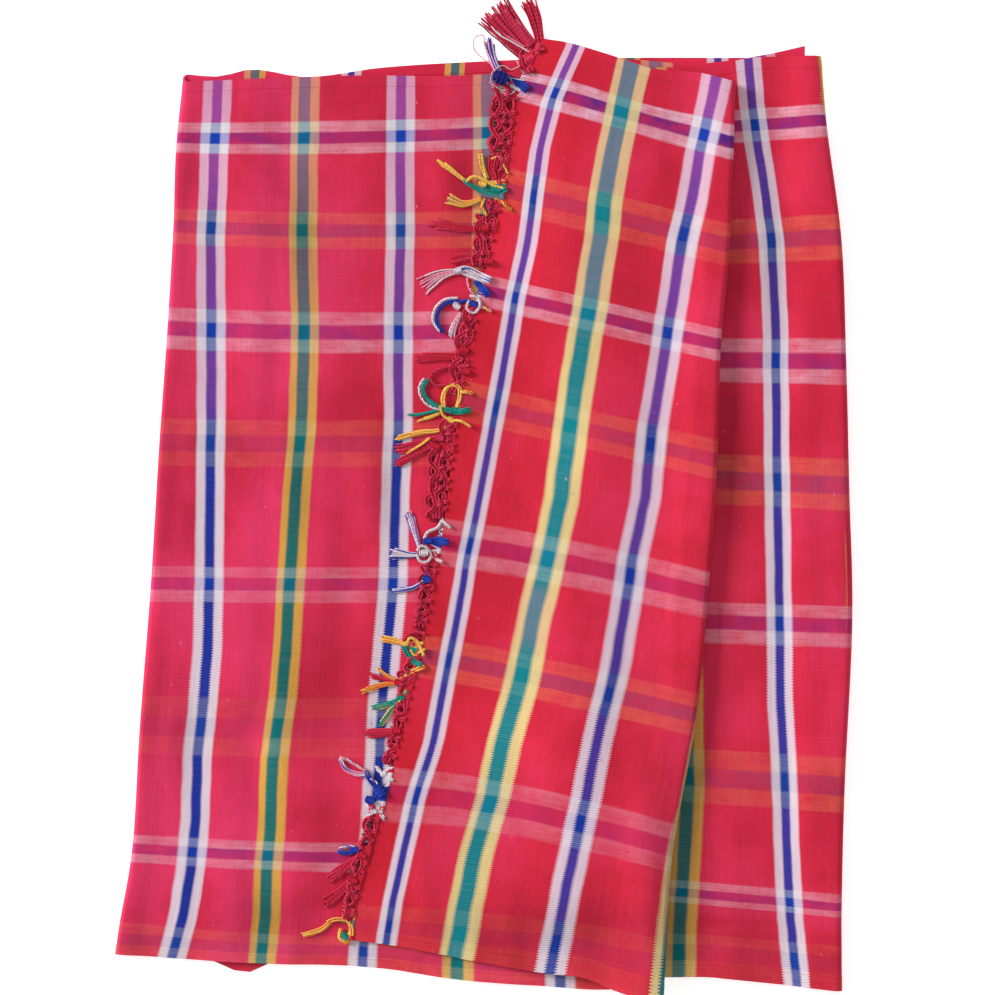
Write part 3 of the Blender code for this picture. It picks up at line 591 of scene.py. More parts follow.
def hem_line(layer, x, y, v):
    """y with the layer's hems wandering as laid, fading towards the middle of the blanket."""
    shape = LAYERS[layer]
    for hems, edge_v, from_edge in ((TOP_HEMS, 0.0, v), (BOTTOM_HEMS, LOOM_WIDTH, LOOM_WIDTH - v)):
        if layer not in hems:
            continue
        points = np.array(hems[layer], float)
        edge_y = straight_y(shape, x, np.full_like(v, edge_v))
        wander = curve_through(points[:, 0], points[:, 1], x) - edge_y
        y = y + wander * (1 - ease(from_edge / HEM_FADE))
    return y


def straight_y(shape, x, v):
    """y on the line, or the bowed line past a guide, between the layer's two ends."""
    x0, y0 = line_at(shape["start"], v)
    x1, y1 = line_at(shape["end"], v)
    if shape["guide"] is None:
        return y0 + (y1 - y0) * (x - x0) / (x1 - x0)
    xg, yg = line_at(shape["guide"], v)
    near_start = (x - xg) * (x - x1) / ((x0 - xg) * (x0 - x1))
    near_guide = (x - x0) * (x - x1) / ((xg - x0) * (xg - x1))
    near_end = (x - x0) * (x - xg) / ((x1 - x0) * (x1 - xg))
    return y0 * near_start + yg * near_guide + y1 * near_end


def puff(fold, x, v):
    """Height of the swelling beside a round fold."""
    high, wide = PUFF[fold]
    fold_x, _ = line_at(fold, v)
    away = np.maximum(np.abs(x - fold_x) - high, 0.0)
    return high * np.exp(-((away / wide) ** 2))


def layer_height(layer, x, y, v):
    """Height of the middle of a layer."""
    if layer == "back":
        return cloth_thickness(v) / 2 + 0 * x
    if layer == "left":
        z = LEFT_PANEL + puff("fold4", x, v)
    elif layer == "right":
        z = RIGHT_PANEL + puff("fold3", x, v)
    elif layer == "pleat":
        z = PLEAT_INSIDE + 0 * x
    else:
        inner_x, _ = line_at("fold2", v)
        on_pleat = ease((x - inner_x + 75) / 68)
        z = RIGHT_PANEL + (OVERLAP - RIGHT_PANEL) * on_pleat + puff("fold1", x, v)
        past_hem = ease((y - 425) / 34) * (1 - ease((x - 70) / 70))
        z = z - 4.4 * past_hem
    return z + RIDGE_SHARE[layer] * swells(RIDGES, x, y, 0.0, 2.5)


def fold_heights(fold, lower, upper, v):
    """Heights of the two layers where they run into a fold, and the fold's half depth."""
    x, _ = line_at(fold, v)
    heights = []
    for layer in (lower, upper):
        y = hem_line(layer, x, straight_y(LAYERS[layer], x, v), v)
        heights.append(layer_height(layer, x, y, v))
    return heights[0], heights[1], (heights[1] - heights[0]) / 2


def end_x(line, v):
    """x where a layer's run stops: at a free end, or where its fold's round part starts."""
    x, _ = line_at(line, v)
    if line not in FOLDS:
        return x
    fold = FOLDS[line]
    depth = fold_heights(line, fold["lower"], fold["upper"], v)[2]
    return x - fold["side"] * (depth + CLOTH / 2)


def fold_points(fold, before, after, v):
    """The round turn between the last column of one layer and the first of the next."""
    side = FOLDS[fold]["side"]
    x, _ = line_at(fold, v)
    reach = np.abs(x - side * CLOTH / 2 - before[:, 0])
    steps = FOLD_STEPS[fold]
    columns = []
    for i in range(1, steps):
        turn = math.pi * i / steps
        share = (1 - math.cos(turn)) / 2
        column = before + (after - before) * share
        column[:, 0] = before[:, 0] + side * reach * math.sin(turn)
        columns.append(column)
    return columns


def grid_normals(grid):
    along = np.gradient(grid, axis=1)
    down = np.gradient(grid, axis=0)
    normals = np.cross(down, along)
    return normals / np.linalg.norm(normals, axis=2, keepdims=True)


def stripe_place(layer, x, y):
    """Distance along the sheet, from the fringed end, of a place on a showing layer."""
    rows = np.array(STRIPE_ROWS[layer], float)[::-1]
    numbers = sorted(STRIPES[layer])
    middles = [np.interp(y, rows, np.array(STRIPES[layer][n], float)[::-1]) for n in numbers]
    way = 1 if middles[-1][0] > middles[0][0] else -1
    stations = []
    places = []
    for n, middle in list(zip(numbers, middles))[::way]:
        for off in (-STRIPE_SIDE, STRIPE_SIDE):
            stations.append(middle + off * STRIPE_SPREADS[layer].get(n, 1.0))
            places.append(STRIPE_START + STRIPE_PITCH * n + way * off)
    stations = np.stack(stations)
    return np.array([smooth_between(stations[:, i], np.array(places), x[i]) for i in range(len(x))])


def smooth_between(stations, values, at):
    """The smooth curve through a table, carried on straight past its ends."""
    if stations[0] <= at <= stations[-1]:
        return float(curve_through(stations, values, at))
    end, inner = (0, 1) if at < stations[0] else (-1, -2)
    slope = (values[inner] - values[end]) / (stations[inner] - stations[end])
    return float(values[end] + slope * (at - stations[end]))


def rumple(x, y):
    """Slow unevenness of laid cloth, from a few crossing waves."""
    return sum(high * np.sin(a * x + b * y + start) for a, b, start, high in WAVES)


def fine_height(layer, x, y, v):
    """Height of the middle of a layer with its creases, which go down less far than up."""
    height = layer_height(layer, x, y, v)
    if layer in HIDDEN:
        return height
    relief = 1.5 * swells(CREASES, x, y, 0.25, 3.0) + 1.1 * rumple(x, y)
    return height + np.where(relief < 0, -DEEPEST * np.tanh(-relief / DEEPEST), relief)


def fine_layer(layer, v):
    """A layer's columns of points, and their places along the sheet."""
    shape = LAYERS[layer]
    x0 = end_x(shape["start"], v)
    x1 = end_x(shape["end"], v)
    points = []
    places = []
    shares = np.linspace(0, 1, LAYER_COLUMNS[layer] + 1)
    if layer in CLOSER_COLUMNS:
        shares = np.interp(shares, *CLOSER_COLUMNS[layer])
    for share in shares:
        x = x0 + (x1 - x0) * share
        y = hem_line(layer, x, straight_y(shape, x, v), v)
        points.append(np.stack([x, y, fine_height(layer, x, y, v)], axis=1))
        if layer != "pleat":
            places.append(stripe_place(layer, x, y))
    return points, places


def fine_sheet():
    """Middle points of the sheet, with how far along the sheet each one is and its v."""
    near_hem = (0, 3, 8, 11, 14, 20)
    middle = np.linspace(26, LOOM_WIDTH - 26, ROWS + 1 - 2 * len(near_hem))
    v = np.concatenate([near_hem, middle, LOOM_WIDTH - np.array(near_hem[::-1], float)])
    names = list(LAYERS)
    layers = {name: fine_layer(name, v) for name in names}
    pleat = layers["pleat"][0]
    steps = [np.linalg.norm(b - a, axis=1) for a, b in zip(pleat[:-1], pleat[1:])]
    run = np.cumsum([np.zeros(len(v))] + steps, axis=0)
    start = layers["overlap"][1][-1] + FOLD_RUN
    layers["pleat"] = (pleat, [start + part for part in run])
    columns = []
    places = []
    for name, following in zip(names, names[1:] + [None]):
        points, along = layers[name]
        columns += points
        places += along
        if following:
            next_points, next_along = layers[following]
            turn = fold_points(LAYERS[name]["end"], points[-1], next_points[0], v)
            columns += turn
            gap = FOLD_RUN if name == "overlap" else next_along[0] - along[-1]
            places += [along[-1] + gap * ((k + 1) / (len(turn) + 1)) for k in range(len(turn))]
    return v, np.stack(columns, axis=1), np.stack(places, axis=1)


def new_object(name, mesh):
    """An object for a mesh, lamp or camera, in the scene."""
    made = bpy.data.objects.new(name, mesh)
    bpy.context.scene.collection.objects.link(made)
    return made


def set_attribute(mesh, name, values):
    """One value, or three, at each point of a mesh."""
    kind, field = ("FLOAT", "value") if values.ndim == 1 else ("FLOAT_VECTOR", "vector")
    data = mesh.attributes.new(name, kind, "POINT").data
    data.foreach_set(field, values.astype(np.float32).reshape(-1))


def plaid_cloth():
    """The sheet: its two faces and its rims, with what the material reads at each point."""
    v, grid, places = fine_sheet()
    half = (cloth_thickness(v) / 2 - SHEET_INSET)[:, None, None]
    normals = grid_normals(grid)
    points = np.concatenate([grid + normals * half, grid - normals * half]).reshape(-1, 3)
    points[:, 2] = np.maximum(points[:, 2], 0.0)
    rows, columns = grid.shape[:2]
    count = rows * columns
    index = np.arange(count).reshape(rows, columns)
    one_face = np.stack([index[:-1, :-1], index[1:, :-1], index[1:, 1:], index[:-1, 1:]], axis=-1)
    faces = [one_face.reshape(-1, 4), one_face.reshape(-1, 4)[:, ::-1] + count]
    for edge in (index[:, 0], index[::-1, -1], index[0, ::-1], index[-1]):
        faces.append(np.stack([edge[:-1], edge[:-1] + count, edge[1:] + count, edge[1:]], axis=-1))
    mesh = bpy.data.meshes.new("plaid_cloth")
    mesh.from_pydata((points * MM).tolist(), [], np.concatenate(faces).tolist())
    down = np.repeat(v[:, None], columns, axis=1)
    for name, parts in (
        ("weave", (places * MM, down * MM, cover_at(places, v))),
        ("laid", (band_phase_at(places, v), np.interp(places, *PINKNESS), band_show_at(places, v))),
    ):
        set_attribute(mesh, name, np.tile(np.stack(parts, axis=-1).reshape(-1, 3), (2, 1)))
    # Painted light and shade from the folds, kept at each point for the material
    set_attribute(mesh, "painted_shading", np.tile(painted_shading_at(grid[:, :, 0], grid[:, :, 1]).reshape(-1), 2))
    flat_map(mesh, grid, count)
    turned = bmesh.new()
    turned.from_mesh(mesh)
    bmesh.ops.recalc_face_normals(turned, faces=turned.faces)
    turned.to_mesh(mesh)
    turned.free()
    mesh.shade_smooth()
    mesh.set_sharp_from_angle(angle=math.radians(60))
    return new_object("plaid_cloth", mesh)


def flat_map(mesh, grid, count):
    """The sheet laid out flat, its two faces one above the other, for baking."""
    rows, columns = grid.shape[:2]
    along = np.linalg.norm(np.diff(grid, axis=1), axis=2).mean(axis=0)
    along = np.concatenate([[0.0], np.cumsum(along)])
    down = np.linalg.norm(np.diff(grid, axis=0), axis=2).mean(axis=1)
    down = np.concatenate([[0.0], np.cumsum(down)])
    place = np.empty((2 * count, 2), np.float32)
    place[:, 0] = np.tile(along / along[-1] * 0.99 + 0.005, 2 * rows)
    place[:, 1] = np.tile(np.repeat(down / down[-1] * 0.48 + 0.01, columns), 2)
    place[count:, 1] += 0.5
    corners = np.empty(len(mesh.loops), np.int32)
    mesh.loops.foreach_get("vertex_index", corners)
    layer = mesh.uv_layers.new(name="OFBake")
    layer.uv.foreach_set("vector", place[corners].reshape(-1))


def cover_at(places, v):
    """How much the crosswise yarns show through the stripes."""
    number = (places - STRIPE_START) / STRIPE_PITCH
    on_left = places > LEFT_START
    zones = (
        ("overlap_edge", number < 0.5),
        ("overlap_green", (number >= 0.5) & (number < 1.5)),
        ("overlap_fold", (number >= 1.5) & (number < 4)),
        ("right", (number >= 4) & (number < 6.6)),
        ("back", (number >= 6.6) & ~on_left),
        ("left", on_left),
        ("left_green", (np.round(number) % 2 == 1) & on_left),
    )
    out = np.zeros_like(places)
    for name, inside in zones:
        out = np.where(inside, np.interp(v, *COVERS[name])[:, None], out)
    return out


def by_layer(places, values):
    """Values per showing layer, put together by place along the sheet."""
    out = np.where(places < STRIPE_START + 4 * STRIPE_PITCH, values["overlap"], values["right"])
    return np.where(places > LEFT_START, values["left"], out)


def band_show_at(places, v):
    """How strongly the crosswise bands show on the red ground."""
    shows = {name: np.interp(v, BAND_MIDDLES, row)[:, None] for name, row in BAND_SHOWS.items()}
    return by_layer(places, shows)


def band_phase(v, layer):
    """Which crosswise band is near: 0.25 in the middle of a white and blue one, 0.75 of a yellow one."""
    stations = []
    phases = []
    for k, (middle, spread) in enumerate(zip(BAND_MIDDLES, BAND_SPREADS[layer])):
        for off in (-BAND_SIDE, BAND_SIDE):
            stations.append(middle + off * spread)
            phases.append(0.25 + 0.5 * k + off / REPEAT)
    first = phases[0] - stations[0] / REPEAT
    last = phases[-1] + (LOOM_WIDTH - stations[-1]) / REPEAT
    return np.interp(v, [0] + stations + [LOOM_WIDTH], [first] + phases + [last])


def band_phase_at(places, v):
    """Phase of the bands, which bow upwards in the middle of the overlap."""
    bow = np.interp(v, *BAND_BOWS)[:, None] * np.sin(np.pi * np.clip(places / OVERLAP_RUN, 0, 1))
    phases = {name: band_phase(v, name)[:, None] for name in BAND_SPREADS}
    phases["overlap"] = band_phase(v[:, None] + bow, "overlap")
    return by_layer(places, phases)


def painted_shading_at(x, y):
    """Painted light and shade: lighter and darker places on the cloth where folds catch light or lie in
    shade.
    """
    total = np.zeros(x.shape)
    for x0, y0, wide, high, share in PAINTED_SHADING:
        total += share * np.exp(-(((x - x0) / wide) ** 2) - ((y - y0) / high) ** 2)
    return total


def linear(name):
    """A colour's red, green and blue shares of light."""
    shares = [c / 255 for c in COLOURS[name]]
    return tuple(c / 12.92 if c <= 0.04045 else ((c + 0.055) / 1.055) ** 2.4 for c in shares)


class Wire:
    """A value that runs between nodes. Arithmetic on wires adds math nodes."""

    def __init__(self, look, socket):
        self.look = look
        self.socket = socket

    def __add__(self, other):
        return self.look.math("ADD", self, other)

    def __sub__(self, other):
        return self.look.math("SUBTRACT", self, other)

    def __rsub__(self, other):
        return self.look.math("SUBTRACT", other, self)

    def __mul__(self, other):
        return self.look.math("MULTIPLY", self, other)

    def __truediv__(self, other):
        return self.look.math("DIVIDE", self, other)

    def held(self):
        """The same value, kept between 0 and 1."""
        self.socket.node.use_clamp = True
        return self


class Look:
    """Short calls that build one material's nodes."""

    def __init__(self, name):
        self.material = bpy.data.materials.new(name)
        self.material.use_nodes = True
        self.tree = self.material.node_tree
        self.shader = self.tree.nodes["Principled BSDF"]

    def feed(self, node, values):
        """Wires to a node's sockets, or numbers and colours set on them."""
        for key, value in values.items():
            if isinstance(value, Wire):
                self.tree.links.new(value.socket, node.inputs[key])
            else:
                node.inputs[key].default_value = (*value, 1.0) if isinstance(value, tuple) else value

    def node(self, kind, values, output=0, **settings):
        """A new node, fed and set, as the wire from one of its outputs."""
        node = self.tree.nodes.new(kind)
        for key, value in settings.items():
            setattr(node, key, value)
        self.feed(node, values)
        return Wire(self, node.outputs[output])

    def math(self, operation, a, b=0.0):
        return self.node("ShaderNodeMath", {0: a, 1: b}, operation=operation)

    def attribute(self, name):
        """The three values of an attribute."""
        whole = self.node("ShaderNodeAttribute", {}, "Vector", attribute_name=name)
        parts = self.node("ShaderNodeSeparateXYZ", {0: whole}).socket.node
        return [Wire(self, socket) for socket in parts.outputs]

    def share(self, name):
        """An attribute of one value."""
        return self.node("ShaderNodeAttribute", {}, "Fac", attribute_name=name)

    def place(self, x, y):
        return self.node("ShaderNodeCombineXYZ", {0: x, 1: y})

    def noise(self, where, scale, detail=2.0, rough=0.5):
        values = {"Vector": where, "Scale": scale, "Detail": detail, "Roughness": rough}
        return self.node("ShaderNodeTexNoise", values, "Fac")

    def mix(self, share, a, b):
        values = {"Factor": share, 6: a, 7: b}
        return self.node("ShaderNodeMix", values, 2, data_type="RGBA", clamp_factor=True)

    def brighten(self, colour, by):
        return self.node("ShaderNodeHueSaturation", {"Value": by, "Color": colour})

    def bump(self, height, strength, distance):
        values = {"Strength": strength, "Distance": distance, "Height": height}
        return self.node("ShaderNodeBump", values)

    def ramp(self, at, stops):
        """Colour and alpha along a ramp."""
        colour = self.node("ShaderNodeValToRGB", {0: at}, "Color")
        marks = colour.socket.node.color_ramp.elements
        while len(marks) > 1:
            marks.remove(marks[-1])
        marks[0].position, marks[0].color = stops[0]
        for position, shade in stops[1:]:
            marks.new(position).color = shade
        return colour, Wire(self, colour.socket.node.outputs["Alpha"])


def group_stops(names, edges, soft):
    """Ramp stops over one repeat: a white group of yarns, then a yellow one, clear between them."""
    stops = [(0.0, (*linear(names[0]), 0.0))]
    for k, marks in enumerate(edges):
        outer, inner = names[2 * k : 2 * k + 2]
        middle = (k + 0.5) * STRIPE_PITCH
        sides = ((outer, 0.0), (outer, 1.0), (inner, 1.0), (outer, 1.0), (outer, 0.0))
        for mark, before, after in zip(marks, sides[:-1], sides[1:]):
            for off, (name, share) in ((-soft, before), (soft, after)):
                stops.append(((middle + mark + off) / REPEAT, (*linear(name), share)))
    stops.append((1.0, (*linear(names[2]), 0.0)))
    return stops


def plaid_material():
    """Stripes and bands woven into the red, with uneven yarns, flecks, painted light and shade from the
    folds, and hem seams.
    """
    look = Look("red_plaid_weave")
    u, v, cover = look.attribute("weave")
    phase, tint, pale = look.attribute("laid")
    where = look.place(u, v)

    def yarns(across, along, detail=2.0, rough=0.5):
        """Noise drawn out along the warp or the weft."""
        return look.noise(look.place(u * across, v * along), 1.0, detail, rough)

    def wave(at, length):
        return look.math("SINE", at * (2 * math.pi / length))

    # The stripes' edges step in and out with each pair of picks, most near the fringed end
    pick = wave(v, PICK_PAIR)
    near_end = ((0.44 - u) * 50.0).held()
    lower = (v * 2.2).held()
    reach = (near_end * 0.0003 + 0.0008) * (lower * 0.55 + 0.45)
    tooth = look.math("MINIMUM", look.math("MAXIMUM", pick * 3.0, -1.0), 1.0) * reach
    sway = (look.noise(where, 22.0) - 0.5) * 0.003
    turn = look.math("FRACT", (u + tooth + sway + 0.0075) / (REPEAT * MM))
    white_group = ("stripe_white", "stripe_blue")
    stops = group_stops(white_group + ("stripe_yellow", "stripe_green"), STRIPE_EDGES, 0.25)
    stripe, stripe_share = look.ramp(turn, stops)
    stops = group_stops(white_group + ("pale_yellow", "pale_green"), STRIPE_EDGES, 0.25)
    pale_stripe, _ = look.ramp(turn, stops)
    band_turn = look.math("FRACT", phase + (yarns(30.0, 300.0) - 0.5) * 0.012)
    stops = group_stops(("band_white", "band_blue", "band_orange", "band_grey"), BAND_EDGES, 0.9)
    band, band_share = look.ramp(band_turn, stops)
    stops = group_stops(("cross_white", "cross_blue", "cross_yellow", "cross_grey"), BAND_EDGES, 0.9)
    cross, _ = look.ramp(band_turn, stops)

    # Yarns differ a little from each other, both ways, and the red drifts from pinker to deeper
    upright = yarns(900.0, 9.0)
    level = yarns(12.0, 620.0)
    patch = yarns(34.0, 60.0, 3.0, 0.6)
    streak = yarns(260.0, 36.0, 3.0, 0.65)
    slub = yarns(150.0, 90.0, 1.0)
    cloud = look.noise(where, 7.0, 3.0, 0.55)
    fleck = look.noise(where, 650.0, 1.0)
    check = wave(u, WARP_PAIR) * pick
    base = look.mix(tint, linear("overlap_red"), linear("crimson"))
    pinker = ((cloud - 0.48) * 4.0 * (tint * 0.5 + 0.3)).held()
    base = look.mix(pinker, base, linear("bright_crimson"))
    deeper = ((0.52 - cloud) * 3.4).held()
    base = look.mix(deeper * 0.75, base, linear("deep_red"))

    # Bands show raggedly on the red and through the stripes, least at yellow bands and on the overlap
    ragged = (patch - 0.5) * 1.9 + 0.72 + (level - 0.5) * 0.7
    ground = look.mix((band_share * pale * ragged).held(), base, band)
    under = look.mix(band_share, linear("under_stripe"), cross)
    yellow_band = look.math("GREATER_THAN", band_turn, 0.5)
    weaker = 1.0 - band_share * (near_end * 0.35 + yellow_band * 0.35)
    show = look.math("MAXIMUM", cover, band_share * 0.20) * weaker
    show = (show + check * 0.05 + (level - 0.5) * 0.14).held()
    in_stripe = look.mix(show, look.mix(near_end, stripe, pale_stripe), under)
    colour = look.mix(stripe_share, ground, in_stripe)
    colour = look.mix(((slub - 0.77) * 14.0).held() * 0.4, colour, linear("band_white"))
    colour = look.mix(((0.25 - slub) * 12.0).held() * 0.4, colour, linear("deep_red"))
    # Yarn grain; its last term adds the painted light and shade from the folds
    grain_and_painted_shade = upright * 0.24 + level * 0.18 + fleck * 0.12 + streak * 0.30 + look.share("painted_shading")
    colour = look.brighten(colour, grain_and_painted_shade + 0.61)
    hem = look.math("MINIMUM", v, LOOM_WIDTH * MM - v)
    seam = (1.0 - look.math("ABSOLUTE", hem - SEAM_IN) / 0.0009).held()
    height = look.math("ABSOLUTE", pick) * 0.5 + check * 0.35 + fleck * 0.8 - seam * 2.0
    look.feed(look.shader, {
        "Base Color": look.mix(seam * 0.15, colour, (0.22, 0.004, 0.012)),
        "Normal": look.bump(height, 0.55, 0.00022),
        "Roughness": fleck * 0.12 + 0.78,
        "Specular IOR Level": 0.08,
        "Sheen Weight": 0.06,
        "Sheen Roughness": 0.5,
        "Sheen Tint": (1.0, 0.72, 0.76),
    })
    return look.material


def yarn_material(name):
    """Two twisted plies, with lighter and darker lengths and a little fuzz."""
    look = Look(name + "_yarn")
    along, cosine, sine = look.attribute("strand")
    own = look.share("own")
    run = along * (2 * math.pi / PLY_TURN)
    ply = look.math("SINE", run) * cosine + look.math("COSINE", run) * sine
    spot = look.noise(look.place(along * 260.0, own * 60.0), 1.0)
    # The ply term paints a little light and shade along the twist, darker in the grooves between the plies
    bright = own * 0.22 + 0.76 + spot * 0.22 + ply * 0.06
    look.feed(look.shader, {
        "Base Color": look.brighten(linear(name), bright),
        "Normal": look.bump(ply + spot * 0.8, 0.6, 0.0002),
        "Roughness": spot * 0.15 + 0.74,
        "Specular IOR Level": 0.1,
        "Sheen Weight": 0.1,
        "Sheen Roughness": 0.45,
    })
    return look.material


def warp_colour(v):
    """The colour of a warp yarn where it leaves the fringed end."""
    turn = band_phase(np.array([v]), "overlap")[0] % 1.0
    white_group = turn < 0.5
    off = abs(turn - (0.25 if white_group else 0.75)) * REPEAT
    if off < 6:
        return "blue" if white_group else "teal"
    if off < 16:
        return "white" if white_group else "yellow"
    return "red"


# The fringed end's line, and the height of what lies under the fringe, in tables that are read often
EDGE_V = np.linspace(0.0, LOOM_WIDTH, 465)
EDGE_X, EDGE_Y = line_at("fringed_end", EDGE_V)
EDGE_Y = hem_line("overlap", EDGE_X, EDGE_Y, EDGE_V)
EDGE_Z = layer_height("overlap", EDGE_X, EDGE_Y, EDGE_V)
LIE_X = np.arange(-210.0, 110.0, 1.0)
LIE_Y = np.arange(-460.0, 512.0, 2.0)


def lie_table():
    """Height of the cloth or floor under the fringe, easing up onto the overlap at its edge."""
    x, y = (part.reshape(-1) for part in np.meshgrid(LIE_X, LIE_Y))
    v = np.clip(np.interp(y, LINES["left_middle"]["y"][::-1], SECTION_V[::-1]), 0, LOOM_WIDTH)
    panel = fine_height("left", x, y, v) + CLOTH / 2
    past = y - curve_through(*np.transpose(TOP_HEMS["left"]), x)
    low = panel * (1 - ease((past - 4) / 16))
    edge_v, edge_x = (np.interp(y, EDGE_Y[::-1], table[::-1]) for table in (EDGE_V, EDGE_X))
    inside = ease((x - edge_x + 1.5) / 3.5)
    over = fine_height("overlap", x, y, edge_v) + cloth_thickness(edge_v) / 2
    return (low + (over - low) * inside).reshape(len(LIE_Y), len(LIE_X))


LIE = lie_table()


def lie_height(x, y):
    """That height at one place, read between the table's entries."""
    a = min(max((x - LIE_X[0]), 0.0), len(LIE_X) - 1.001)
    b = min(max((y - LIE_Y[0]) / 2.0, 0.0), len(LIE_Y) - 1.001)
    i, j = int(a), int(b)
    a, b = a - i, b - j
    low = LIE[j, i] * (1 - a) + LIE[j, i + 1] * a
    high = LIE[j + 1, i] * (1 - a) + LIE[j + 1, i + 1] * a
    return float(low * (1 - b) + high * b)


def along_edge(v, *tables):
    """The fringed end's tables, read at one v."""
    return [float(np.interp(v, EDGE_V, table)) for table in tables]


def edge_out(v, out):
    """A place out from the fringed end, square to it."""
    v = float(np.clip(v, 1.0, LOOM_WIDTH - 1.0))
    x, y = along_edge(v, EDGE_X, EDGE_Y)
    way = np.subtract(along_edge(v + 4, EDGE_X, EDGE_Y), along_edge(v - 4, EDGE_X, EDGE_Y))
    way /= np.linalg.norm(way)
    return x + way[1] * out, y - way[0] * out


def headings(line):
    """Which way a line of places runs at each of them."""
    ahead = np.gradient(line, axis=0)
    return ahead / np.maximum(np.linalg.norm(ahead, axis=1, keepdims=True), 1e-6)


def lengths_along(line):
    return np.concatenate([[0.0], np.cumsum(np.linalg.norm(np.diff(line, axis=0), axis=1))])


class Yarns:
    """Gathers strands of one colour into one mesh."""

    def __init__(self):
        self.points = []
        self.faces = []
        self.strand = []
        self.own = []
        self.count = 0

    def add(self, path, half, own):
        """One yarn, a closed tube along a path of places, with its own share of brightness."""
        ahead = headings(path)
        side = np.cross(ahead, (0.0, 0.0, 1.0))
        size = np.linalg.norm(side, axis=1, keepdims=True)
        side = np.where(size > 1e-3, side / np.maximum(size, 1e-6), (1.0, 0.0, 0.0))
        up = np.cross(side, ahead)
        n = len(path)
        halves = np.full(n, half)
        halves[0] *= 0.75
        halves[-1] *= 0.55
        angles = np.arange(SIDES) * 2 * math.pi / SIDES
        ring = side[:, None] * np.cos(angles)[:, None] + up[:, None] * np.sin(angles)[:, None]
        self.points.append((path[:, None] + ring * halves[:, None, None]).reshape(-1, 3))
        strand = (lengths_along(path)[:, None] * MM, np.cos(2 * angles), np.sin(2 * angles))
        self.strand.append(np.stack(np.broadcast_arrays(*strand), axis=-1).reshape(-1, 3))
        self.own.append(np.full(n * SIDES, own))
        index = np.arange(n * SIDES).reshape(n, SIDES) + self.count
        after = np.roll(index, -1, axis=1)
        quads = np.stack([index[:-1], after[:-1], after[1:], index[1:]], axis=-1).reshape(-1, 4)
        self.faces += quads.tolist() + [index[0][::-1].tolist(), index[-1].tolist()]
        self.count += n * SIDES

    def piece(self, name, colour):
        mesh = bpy.data.meshes.new(name)
        mesh.from_pydata((np.concatenate(self.points) * MM).tolist(), [], self.faces)
        set_attribute(mesh, "strand", np.concatenate(self.strand))
        set_attribute(mesh, "own", np.concatenate(self.own))
        mesh.shade_smooth()
        mesh.materials.append(yarn_material(colour))
        return new_object(name, mesh)


YARNS = {}


def lay_yarn(colour, flat, height, half=YARN_HALF):
    """One yarn along places on the picture's plane, at its heights."""
    path = np.column_stack([flat, height])
    YARNS.setdefault(colour, Yarns()).add(path, half, float(CHANCE.random()))


def smooth_line(points):
    """A smooth line through places, with even steps, its length so far and the way across it."""
    points = np.array(points, float)
    chords = lengths_along(points)
    at = np.linspace(0, chords[-1], max(int(chords[-1] / STEP), 4) + 1)
    line = np.stack([curve_through(chords, points[:, k], at) for k in (0, 1)], axis=1)
    ahead = headings(line)
    return line, at, np.stack([-ahead[:, 1], ahead[:, 0]], axis=1)


def soften(heights, times):
    for _ in range(times):
        padded = np.concatenate([heights[:1], heights, heights[-1:]])
        heights = (padded[:-2] + 2 * padded[1:-1] + padded[2:]) / 4
    return heights


def lie_under(line, times):
    return soften(np.array([lie_height(x, y) for x, y in line]), times)


def lay_tail(colours, count, wide_0, wide_1, lift, points):
    """A loose tassel end: yarns side by side that fan out towards the tip."""
    line, at, across = smooth_line(points)
    share = at / at[-1]
    width = wide_0 + (wide_1 - wide_0) * share**1.3
    base = lie_under(line, 2) + YARN_HALF * 1.05 + lift * (1 - share)
    colours = colours.split()
    for j in range(count):
        lean = (2 * j / (count - 1) - 1) * 0.92 + 0.08 * CHANCE.normal()
        level = (j * 5 % 3) * 0.7 * (1 - 0.75 * share)
        keep = 1 - 0.22 * CHANCE.random() * (0.4 + abs(lean))
        keep = max(int(len(line) * keep), 3)
        wave = 0.45 * np.sin(at / (3.4 + 2 * CHANCE.random()) + 6.28 * CHANCE.random()) * share
        flat = line + across * (lean * width + wave)[:, None]
        lay_yarn(colours[j % len(colours)], flat[:keep], (base + level)[:keep])


def lay_cord(colours, count, wide_0, wide_1, lift, points):
    """Yarns along a line: side by side and wavering, or a few twisted round each other, or one."""
    line, at, across = smooth_line(points)
    width = np.maximum(wide_0 + (wide_1 - wide_0) * (at / at[-1]), 0.5)
    half = YARN_HALF
    if count == 1:
        width = np.zeros_like(at)
        half = wide_0
    base = lie_under(line, 3) + half + lift * 0.7
    colours = colours.split()
    for j in range(count):
        if count > 4:
            lean = 2 * (j + 0.5) / count - 1
            off = lean * width
            rise = 0.7 + 0.7 * np.cos(lean * 2.2 + at / 5.0 + j)
        else:
            turn = 2 * math.pi * (j / count + at / 11.0)
            off = 0.75 * width * np.cos(turn)
            rise = np.minimum(width, 1.1) * (1 + np.sin(turn)) * 0.7
        lay_yarn(colours[j % len(colours)], line + across * off[:, None], base + rise, half)


def ways(turn):
    """Ahead and across, as directions on the picture's plane."""
    ahead = np.array([math.cos(turn), math.sin(turn)])
    return ahead, np.array([-ahead[1], ahead[0]])


